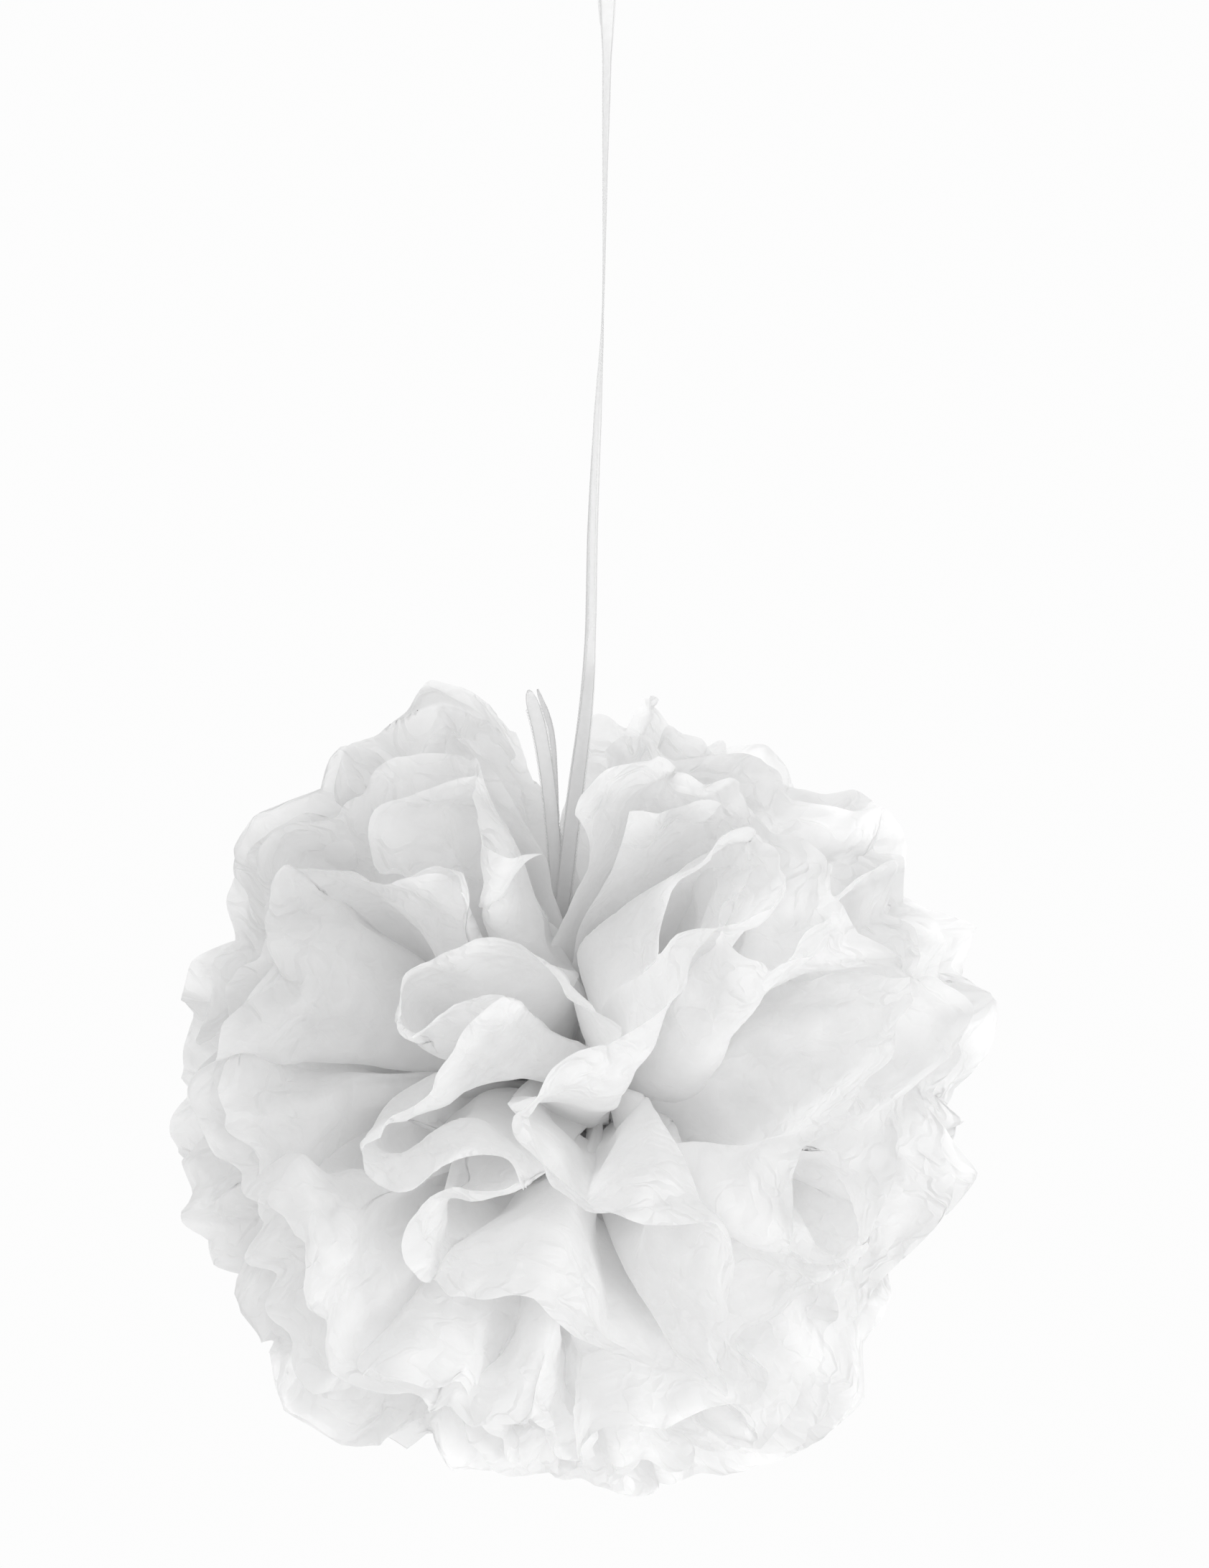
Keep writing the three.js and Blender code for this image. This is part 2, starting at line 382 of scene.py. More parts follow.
@dataclass(frozen=True)
class WireFinish:
    """Thin drawn steel wire with fine marks along it."""

    name: str = "tie_wire_steel"
    tone: float = 0.55
    mark_scale: float = 900.0
    mark_height: float = 0.00003

    def material(self) -> bpy.types.Material:
        """Build the wire's material on object coordinates.

        Returns:
            The material.
        """
        material, bench = new_material(self.name)
        place = bench.add("ShaderNodeTexCoord").outputs["Object"]
        marks = bench.noise(place, self.mark_scale, 3.0)
        metal = bench.add(
            "ShaderNodeBsdfPrincipled",
            {
                "Base Color": (self.tone, self.tone, self.tone * 1.01, 1.0),
                "Metallic": 1.0,
                "Roughness": bench.span(marks, 0.22, 0.5),
                "Normal": bench.bump(marks, 0.3, self.mark_height),
            },
        )
        bench.surface(metal.outputs[0])
        return material


@dataclass(frozen=True)
class FloorFinish:
    """Plain pale floor."""

    name: str = "floor_pale"
    tone: float = 0.86
    unevenness: float = 0.005

    def material(self) -> bpy.types.Material:
        """Build the floor's material on object coordinates.

        Returns:
            The material.
        """
        material, bench = new_material(self.name)
        place = bench.add("ShaderNodeTexCoord").outputs["Object"]
        grain = bench.noise(place, 3.0, 2.0)
        colour = bench.grey(bench.span(grain, self.tone - self.unevenness, self.tone + self.unevenness))
        shader = bench.add("ShaderNodeBsdfPrincipled", {"Base Color": colour, "Roughness": 0.9})
        bench.surface(shader.outputs[0])
        return material


# ------------------------------------------------------------------ meshes


def mesh_piece(
    name: str,
    points: np.ndarray,
    quads: np.ndarray,
    uv: np.ndarray | None,
    material: bpy.types.Material,
) -> bpy.types.Object:
    """Make a smooth piece of quads, in place, with its object at the origin.

    Args:
        name: the piece's name.
        points: vertices in metres, shape (n, 3).
        quads: vertex numbers, shape (m, 4).
        uv: one UV for each vertex, shape (n, 2), or None.
        material: the piece's finish.

    Returns:
        The new object.
    """
    mesh = bpy.data.meshes.new(name)
    mesh.vertices.add(len(points))
    mesh.vertices.foreach_set("co", np.ascontiguousarray(points, np.float32).ravel())
    mesh.loops.add(quads.size)
    mesh.loops.foreach_set("vertex_index", quads.astype(np.int32).ravel())
    mesh.polygons.add(len(quads))
    mesh.polygons.foreach_set("loop_start", np.arange(0, quads.size, 4, dtype=np.int32))
    mesh.polygons.foreach_set("use_smooth", np.ones(len(quads), bool))
    mesh.update(calc_edges=True)
    mesh.validate()
    if uv is not None:
        layer = mesh.uv_layers.new(name="flat")
        layer.uv.foreach_set("vector", uv[quads.ravel()].astype(np.float32).ravel())
    mesh.materials.append(material)
    piece = bpy.data.objects.new(name, mesh)
    bpy.context.scene.collection.objects.link(piece)
    return piece


def grid_quads(rows: int, columns: int, ring: bool = False) -> np.ndarray:
    """Quads of a grid whose vertices are numbered row by row.

    Args:
        rows: number of rows.
        columns: number of vertices in a row.
        ring: whether each row closes on itself.

    Returns:
        Vertex numbers, shape (m, 4).
    """
    number = np.arange(rows * columns).reshape(rows, columns)
    if ring:
        number = np.concatenate([number, number[:, :1]], 1)
    corners = (number[:-1, :-1], number[1:, :-1], number[1:, 1:], number[:-1, 1:])
    return np.stack(corners, -1).reshape(-1, 4)


def strip_uv(section: np.ndarray, along: np.ndarray) -> np.ndarray:
    """UV map of a swept strip.

    Args:
        section: the section's points, whose first number runs from -1 to 1 across the strip.
        along: where each row is along the strip, in strip widths.

    Returns:
        One UV for each vertex, shape (n, 2).
    """
    uv = np.zeros((len(along), len(section), 2))
    uv[..., 0] = section[None, :, 0] * 0.5 + 0.5
    uv[..., 1] = along[:, None]
    return uv.reshape(-1, 2)


# ------------------------------------------------------------------ the paper


@dataclass(frozen=True)
class SheetCut:
    """The flat cut of a sheet: an accordion of panels whose two ends are cut round, in millimetres."""

    panels: int = 12
    panel_width: float = 40.0
    half_length: float = 150.0
    scallop: float = 3.5

    @property
    def width(self) -> float:
        """The sheet's size across its panels."""
        return self.panels * self.panel_width

    def grid(self, across: int, along: int) -> np.ndarray:
        """Places on the flat sheet.

        Args:
            across: number of points across the panels.
            along: number of points from one rounded end to the other.

        Returns:
            Flat coordinates of shape (across, along, 2), the waist at 0 in the second.
        """
        side = np.linspace(0, self.width, across)
        in_panel = (side / self.panel_width) % 1.0
        round_end = np.abs(2 * in_panel - 1) ** 3
        reach = self.half_length - self.scallop * round_end
        flat = np.zeros((across, along, 2), np.float32)
        flat[..., 0] = side[:, None]
        flat[..., 1] = reach[:, None] * np.linspace(-1, 1, along)[None, :]
        return flat

    def area(self) -> float:
        """Area of the flat sheet in square metres, without what the round cuts take off."""
        cut_off = 2 * self.panels * self.panel_width * self.scallop / 4
        return (self.width * 2 * self.half_length - cut_off) * MM * MM


# Where the camera is, in millimetres about the ball's centre.
EYE = (9.1, -2200.0, 108.5)

# Where the outer edges of the foremost sheets run, from the gap at the top down to the one at the
# bottom: millimetres right of and above the ball's centre, and the distance from it where that isn't
# the usual one. They are drawn as seen from EYE, on a plane through the ball's centre.
EDGE_COURSES = {
    (0, Side.RIGHT): [
        (12, 52, 120), (30, 80), (52, 89), (66, 84), (70, 72), (58, 62), (40, 47), (24, 30),
        (4, 12), (-17, 0), (-13, -14), (3, -26), (14, -43), (36, -54), (46, -66), (43, -84),
        (38, -98), (52, -112, 134), (60, -128),
    ],
    (0, Side.LEFT): [
        (18, 20, 126), (18, 42), (4, 60), (-14, 55), (-34, 53), (-58, 40), (-44, 27, 108), (-14, 20),
        (-38, 17), (-61, 10), (-69, -8), (-62, -25), (-38, -21, 104), (-21, -6, 127),
        (-19, -22, 118), (-44, -36, 112), (-74, -45), (-42, -56), (-13, -54), (6, -70), (20, -90),
    ],
    (1, Side.RIGHT): [
        (14, 96, 134), (34, 112, 136), (58, 100, 132), (52, 66, 118), (38, 30, 112), (58, 40, 132),
        (80, 54), (96, 76), (106, 92), (110, 62), (106, 30), (94, 2), (80, -26), (66, -44),
        (50, -26, 106), (76, -48, 136), (98, -66), (88, -94, 134), (64, -112), (38, -130),
    ],
    (1, Side.LEFT): [
        (-16, 82, 128), (-36, 71, 128), (-17, 90), (-20, 105), (-46, 118), (-64, 114), (-60, 86, 122),
        (-82, 104), (-102, 94), (-112, 72), (-88, 50, 124), (-120, 40), (-130, 12), (-104, -4, 128),
        (-126, -30), (-98, -48, 124), (-114, -74), (-78, -80, 132), (-50, -108), (-24, -110, 136),
        (-14, -138),
    ],
}

# The open notch in front of the ribbon, in millimetres about the ball's centre: how far right its
# middle is, the height of its foot, its half width, and how far above its foot it is fully wide. Then
# the share of the way out of it that paper is pushed in one step.
NOTCH = (-5.5, 54.0, 15.0, 42.0)
NOTCH_PUSH = 0.85

# The ball's ragged outline as seen from the front: degrees counter-clockwise from the right, and the
# distance from the ball's centre in millimetres.
OUTLINE = (
    (0, 133), (5, 145), (12, 153), (17, 145), (22, 152), (30, 137), (36, 147), (44, 151),
    (54, 140), (61, 147), (74, 138), (78, 143), (85, 148), (90, 143), (93, 130), (101, 134),
    (103, 145), (110, 155), (116, 150), (125, 146), (131, 137), (140, 147), (148, 146), (157, 136),
    (163, 145), (170, 144), (180, 149), (191, 147), (197, 152), (202, 145), (206, 154), (211, 145),
    (221, 144), (228, 156), (236, 154), (245, 149), (247, 136), (252, 146), (260, 147), (270, 141),
    (277, 146), (287, 145), (297, 149), (305, 150), (313, 148), (318, 135), (330, 132), (338, 136),
    (348, 145), (353, 141),
)


@dataclass
class FanPlan:
    """Plans where the two fans of every sheet stand before the paper settles."""

    cut: SheetCut
    tilts: tuple[float, ...] = (22.0, 42.0, 58.0, 72.0, 85.0)
    gap_top: dict[Side, float] = field(default_factory=lambda: {Side.LEFT: 12.0, Side.RIGHT: 5.0})
    gap_bottom: dict[Side, float] = field(default_factory=lambda: {Side.LEFT: -4.0, Side.RIGHT: -2.0})
    edge_radius: float = 142.0
    waist_step: float = 0.9
    waist_height: float = 7.0
    waist_pleat: float = 2.5
    petals: int = 9
    width_jitter: float = 0.4
    tilt_jitter: float = 5.0

    def drawn_edge(self, course: list[tuple[float, ...]], count: int) -> np.ndarray:
        """Turn a drawn course of a sheet's outer edge into points on the ball.

        Args:
            course: (right, up) or (right, up, distance from the centre), from top to bottom.
            count: how many points to return.

        Returns:
            Points from bottom to top, in millimetres about the ball's centre.
        """
        reach = np.array([p[2] if len(p) > 2 else self.edge_radius for p in course])
        right, up = (np.array([p[i] for p in course], float) for i in (0, 1))
        depth = -np.sqrt(np.clip(reach**2 - right**2 - up**2, 15.0**2, None))
        eye_right, eye_depth, eye_up = EYE
        nearer = (depth - eye_depth) / -eye_depth
        right, up = eye_right + (right - eye_right) * nearer, eye_up + (up - eye_up) * nearer
        return even_course(np.stack([right, depth, up], 1)[::-1], count)

    def ruled_edge(
        self, rng: np.random.Generator, side: Side, facing: Facing, rank: int, count: int
    ) -> np.ndarray:
        """Lay the outer edge of a fan out in uneven pleats.

        Args:
            rng: the source of chance.
            side: left or right fan.
            facing: whether the sheet's cup opens to the front or the back.
            rank: 0 for the innermost sheet of its face, counted outwards.
            count: how many points to return.

        Returns:
            Points from bottom to top, in millimetres about the ball's centre.
        """
        low = math.radians(self.gap_bottom[side] - 90)
        high = math.radians(90 - self.gap_top[side])
        place = np.linspace(0, 1, 6 * self.petals)
        swing = self.petal_waves(rng, len(place))
        sway = np.radians(4.0) * wander(rng, len(place), 6) * np.sin(math.pi * place)
        turn = low + (high - low) * place + sway
        tilt = np.radians(self.tilts[rank] + self.tilt_jitter * wander(rng, len(place), 7))
        reach = self.edge_radius + 2.5 * wander(rng, len(place), 8) - 1.2 * rank
        low_size, high_size = 0.0, 1.0
        for _ in range(12):
            size = (low_size + high_size) / 2
            angle = np.clip(tilt - facing.value * swing * size, 0.03, math.pi - 0.6)
            ray = np.stack(
                [
                    side.value * np.sin(angle) * np.cos(turn),
                    facing.value * np.cos(angle),
                    np.sin(angle) * np.sin(turn),
                ],
                1,
            )
            edge = even_course(ray * reach[:, None], count)
            if course_length(edge) < self.cut.width:
                low_size = size
            else:
                high_size = size
        return edge

    def petal_waves(self, rng: np.random.Generator, count: int) -> np.ndarray:
        """Waves of uneven width and height, alternately to the front and the back.

        Args:
            rng: the source of chance.
            count: how many values to return.

        Returns:
            Values with peaks of about 1 and -1.
        """
        width = np.exp(self.width_jitter * rng.normal(size=self.petals))
        knots = np.concatenate([[0.0], np.cumsum(width)]) / width.sum()
        peaks = np.where(np.arange(self.petals + 1) % 2 == 0, 1.0, -1.0)
        peaks *= rng.uniform(0.45, 1.2, self.petals + 1)
        along = np.interp(np.linspace(0, 1, count), knots, np.arange(self.petals + 1))
        first = np.minimum(along.astype(int), self.petals - 1)
        part = eased(along - first)
        return peaks[first] * (1 - part) + peaks[first + 1] * part

    def start(self, rng: np.random.Generator, across: int, along: int) -> np.ndarray:
        """Set every sheet up as pleated cones from the waist to its planned edges.

        Args:
            rng: the source of chance.
            across: number of points across each sheet.
            along: number of points from edge to edge.

        Returns:
            Points of shape (sheets, across, along, 3).
        """
        points = np.zeros((SHEETS, across, along, 3), np.float32)
        middle = along // 2
        share = np.abs(np.linspace(-1, 1, along))
        place = np.linspace(0, 1, across)
        for sheet in range(SHEETS):
            facing = Facing.FRONT if sheet < FRONT_SHEETS else Facing.BACK
            rank = sheet if facing is Facing.FRONT else SHEETS - 1 - sheet
            depth = (sheet - (SHEETS - 1) / 2) * self.waist_step
            waist = np.zeros((across, 3))
            waist[:, 1] = depth + self.waist_pleat * zigzag(place * self.cut.panels)
            waist[:, 2] = (place - 0.5) * self.waist_height
            points[sheet, :, middle] = waist
            for side in Side:
                course = EDGE_COURSES.get((sheet, side))
                if course is not None:
                    edge = self.drawn_edge(course, across)
                else:
                    edge = self.ruled_edge(rng, side, facing, rank, across)
                for i in range(1, middle + 1):
                    row = middle + side.value * i
                    out = eased(np.clip(share[row] * 5.0, 0, 1))
                    near = waist + np.array([side.value * 3.0, 0, 0]) * min(1.0, share[row] * 10)
                    points[sheet, :, row] = near * (1 - out) + edge * share[row] * out
        return points


# The grid of cells in which close points are looked for: cells along each side, and a shift in
# millimetres that makes all places positive.
CELLS_A_SIDE = 512
SAFE_SHIFT = 400


class PaperNet:
    """Settles the sheets: paper that doesn't stretch, bends softly and keeps out of other paper."""

    # Share of the bending strength that a folded crease keeps.
    crease_bend = 0.25
    # Paper is soft to squeezing near the waist: millimetres from it where it stiffens, over how many
    # more, and the least firmness.
    soft_near, soft_over, softest = 18, 50, 0.02
    # Strength of the slanting threads of the net.
    slant_strength = 0.5
    # Close points are looked for this much further out than the gap, and only every few steps.
    look_further, look_every = 1.15, 8
    # Points of one sheet count as neighbours on the paper up to this many gaps apart.
    own_paper = 2.2
    # The gap grows from nothing: millimetres from the waist where it starts, over how many more, and
    # the least gap that is worth keeping.
    gap_from, gap_over, least_gap = 8, 90, 0.3
    # Share of an overlap that one step takes away, share of the speed kept, and the top speed.
    push_share, kept_speed, top_speed = 0.2, 0.9, 3.0

    def __init__(
        self,
        points: np.ndarray,
        cut: SheetCut,
        bend: float,
        gap: float,
        keep_out: np.ndarray,
        keep_radius: float,
    ) -> None:
        """Prepare a grid of sheets.

        Args:
            points: shape (sheets, across, along, 3), in millimetres about the ball's centre.
            cut: the flat cut of a sheet.
            bend: how firmly the paper straightens, from 0 to 0.1.
            gap: distance that paper keeps from other paper, far from the waist.
            keep_out: points that paper stays clear of.
            keep_radius: how far.
        """
        self.points = np.ascontiguousarray(points, np.float32)
        self.speed = np.zeros_like(self.points)
        self.across, self.along = points.shape[1:3]
        self.middle = self.along // 2
        self.flat = cut.grid(self.across, self.along)
        self.from_waist = np.abs(self.flat[..., 1])
        self.bend = bend
        self.gap = gap
        self.keep_out = keep_out.astype(np.float32)
        self.keep_radius = keep_radius
        self.pinned = self.points[:, :, self.middle].copy()
        self.crease = np.ones(self.across, np.float32)
        self.crease[:: (self.across - 1) // cut.panels] = self.crease_bend
        firmness = (self.from_waist - self.soft_near) / self.soft_over
        self.ties = self.make_ties(np.clip(firmness, self.softest, 1.0))

    def make_ties(self, firmness: np.ndarray) -> list[tuple]:
        """List the threads of the net, in groups that share no point.

        Args:
            firmness: how much the paper resists being squeezed together, point by point.

        Returns:
            For each group: two pairs of slices, the rest length, the strength and the firmness.
        """
        ties = []
        for step_across, step_along in ((1, 0), (0, 1), (1, 1), (1, -1)):
            for first in (0, 1):
                if step_across:
                    a, b = slice(first, self.across - 1, 2), slice(first + 1, None, 2)
                    if step_along == 0:
                        c, d = slice(None), slice(None)
                    elif step_along == 1:
                        c, d = slice(0, self.along - 1), slice(1, None)
                    else:
                        c, d = slice(1, None), slice(0, self.along - 1)
                else:
                    a = b = slice(None)
                    c, d = slice(first, self.along - 1, 2), slice(first + 1, None, 2)
                start, end = self.flat[a, c], self.flat[b, d]
                count = min(len(start), len(end))
                rest = np.linalg.norm(start[:count] - end[:count], axis=-1).astype(np.float32)
                strength = self.slant_strength if step_across and step_along else 1.0
                squeeze = 0.5 * (firmness[a, c][:count] + firmness[b, d][:count])
                if not step_across:
                    squeeze = np.maximum(squeeze, 0.5)
                ties.append((a, c, b, d, count, rest, strength, squeeze))
        return ties

    def hold_length(self) -> None:
        """Pull or push each thread of the net back to its flat length."""
        for a, c, b, d, count, rest, strength, squeeze in self.ties:
            start = self.points[:, a, c][:, :count]
            end = self.points[:, b, d][:, :count]
            span = end - start
            length = np.sqrt(np.einsum("...i,...i", span, span)) + 1e-6
            change = (length - rest) / length
            change = np.where(change > 0, change, change * squeeze) * (0.5 * strength)
            span *= change[..., None]
            start += span
            end -= span
        self.points[:, :, self.middle] = self.pinned

    def straighten(self) -> None:
        """Smooth the paper's curvature, less along the folded creases."""
        p = self.points
        curve = p[:, :-2] - 2 * p[:, 1:-1] + p[:, 2:]
        curve *= (self.bend * self.crease[1:-1])[None, :, None, None]
        p[:, 1:-1] += 2 * curve
        p[:, :-2] -= curve
        p[:, 2:] -= curve
        curve = (p[:, :, :-2] - 2 * p[:, :, 1:-1] + p[:, :, 2:]) * self.bend
        curve[:, :, self.middle - 1] = 0
        p[:, :, 1:-1] += 2 * curve
        p[:, :, :-2] -= curve
        p[:, :, 2:] -= curve

    def find_pairs(self) -> None:
        """List the points that are close in space but not on the paper."""
        flat_points = self.points.reshape(-1, 3)
        count = len(flat_points)
        cell = self.gap * self.look_further
        digits = np.array([CELLS_A_SIDE * CELLS_A_SIDE, CELLS_A_SIDE, 1])
        key = np.floor((flat_points + SAFE_SHIFT) / cell).astype(np.int64) @ digits
        order = np.argsort(key, kind="stable")
        sorted_key = key[order]
        found = []
        for dx, dy, dz in itertools.product((-1, 0, 1), repeat=3):
            offset = (dx * CELLS_A_SIDE + dy) * CELLS_A_SIDE + dz
            if offset < 0:
                continue
            low = np.searchsorted(sorted_key, sorted_key + offset, "left")
            high = np.searchsorted(sorted_key, sorted_key + offset, "right")
            if offset == 0:
                low = np.arange(count) + 1
            many = np.maximum(high - low, 0)
            total = int(many.sum())
            if total:
                one = np.repeat(np.arange(count), many)
                inside = np.arange(total) - np.repeat(np.cumsum(many) - many, many)
                found.append((order[one], order[inside + np.repeat(low, many)]))
        one = np.concatenate([f[0] for f in found])
        two = np.concatenate([f[1] for f in found])
        span = flat_points[one] - flat_points[two]
        near = np.einsum("ij,ij->i", span, span) < cell * cell
        one, two = one[near], two[near]
        points_a_sheet = self.across * self.along
        flat = self.flat.reshape(-1, 2)
        paper = np.linalg.norm(flat[one % points_a_sheet] - flat[two % points_a_sheet], axis=-1)
        same = (one // points_a_sheet) == (two // points_a_sheet)
        apart = ~(same & (paper < self.own_paper * self.gap))
        one, two = one[apart], two[apart]
        waist = self.from_waist.reshape(-1)
        nearest = np.minimum(waist[one % points_a_sheet], waist[two % points_a_sheet])
        need = self.gap * np.clip((nearest - self.gap_from) / self.gap_over, 0.0, 1.0)
        kept = need > self.least_gap
        self.pairs = one[kept], two[kept], need[kept].astype(np.float32)

    def keep_apart(self) -> None:
        """Push close points of different paper away from each other."""
        flat_points = self.points.reshape(-1, 3)
        one, two, need = self.pairs
        span = flat_points[one] - flat_points[two]
        length = np.sqrt(np.einsum("ij,ij->i", span, span)) + 1e-6
        hit = length < need
        one, two, span, length, need = (v[hit] for v in (one, two, span, length, need))
        move = (self.push_share * (need - length) / length)[:, None] * span
        count = len(flat_points)
        shared = np.bincount(one, minlength=count) + np.bincount(two, minlength=count)
        ease = 1.0 / np.sqrt(np.maximum(shared, 1))
        for axis in range(3):
            push = np.bincount(one, weights=move[:, axis], minlength=count)
            push -= np.bincount(two, weights=move[:, axis], minlength=count)
            flat_points[:, axis] += (push * ease).astype(np.float32)

    def clear_ribbon(self) -> None:
        """Push paper out of the space that the ribbon needs."""
        low = self.keep_out.min(0) - self.keep_radius
        high = self.keep_out.max(0) + self.keep_radius
        inside = np.all((self.points > low) & (self.points < high), axis=-1)
        near = self.points[inside]
        if not len(near):
            return
        span = near[:, None] - self.keep_out[None]
        length = np.sqrt(np.einsum("ijk,ijk->ij", span, span)) + 1e-6
        closest = length.argmin(1)
        row = np.arange(len(near))
        distance = length[row, closest]
        push = np.clip(self.keep_radius - distance, 0, None) / distance
        self.points[inside] = near + span[row, closest] * push[:, None]

    def open_notch(self) -> None:
        """Part the two fans in front of the ribbon, so that it hangs in an open notch."""
        notch_at, foot, half_width, rise = NOTCH
        right, depth, up = (self.points[..., axis] for axis in range(3))
        half = half_width * np.clip((up - foot) / rise, 0, 1)
        count = self.points.shape[2]
        ends = np.sign(self.points[:, :, [0, -1], 0].mean(axis=(0, 1)))
        side = np.where(np.arange(count) < count // 2, ends[0], ends[1])
        short = half - (right - notch_at) * side
        inside = (depth < -8) & (half > 0) & (short > 0)
        self.points[..., 0] += np.where(inside, NOTCH_PUSH * short * side, 0)

    def settle(
        self,
        steps: int,
        goal: np.ndarray | None = None,
        pull: float = 0.0,
        hold: np.ndarray | None = None,
        droop: float = 0.002,
    ) -> None:
        """Let the paper find its place.

        Args:
            steps: how many steps to take.
            goal: where the points would like to be, or None.
            pull: how strongly they are drawn there at first, fading to the hold.
            hold: how strongly they stay drawn there, broadcast over the points.
            droop: how far a step lets the paper sink under its weight.
        """
        for step in range(steps):
            before = self.points.copy()
            self.points += self.speed * self.kept_speed
            self.points[..., 2] -= droop
            if goal is not None:
                draw = np.maximum(pull * (1 - step / steps) * (hold > 0), hold)
                self.points += (goal - self.points) * draw
            self.open_notch()
            self.straighten()
            if step % self.look_every == 0:
                self.find_pairs()
            self.keep_apart()
            self.clear_ribbon()
            self.hold_length()
            radius = np.sqrt(np.einsum("...i,...i", self.points, self.points))
            over = radius > BALL_RADIUS
            self.points[over] *= (BALL_RADIUS / radius[over])[:, None]
            self.speed = self.points - before
            size = np.sqrt(np.einsum("...i,...i", self.speed, self.speed))
            slower = self.top_speed / np.maximum(size, 1e-6)
            self.speed *= np.where(size > self.top_speed, slower, 1.0)[..., None]

    def report(self, stage: str) -> None:
        """Log how much the paper is stretched or squeezed."""
        a, c, b, d, count, rest, _, _ = self.ties[0]
        span = self.points[:, b, d][:, :count] - self.points[:, a, c][:, :count]
        share = np.linalg.norm(span, axis=-1) / rest
        low, mid, high = np.percentile(share, (5, 50, 98))
        log.info("paper %s: %d pairs, length %.2f %.2f %.2f", stage, len(self.pairs[0]), low, mid, high)


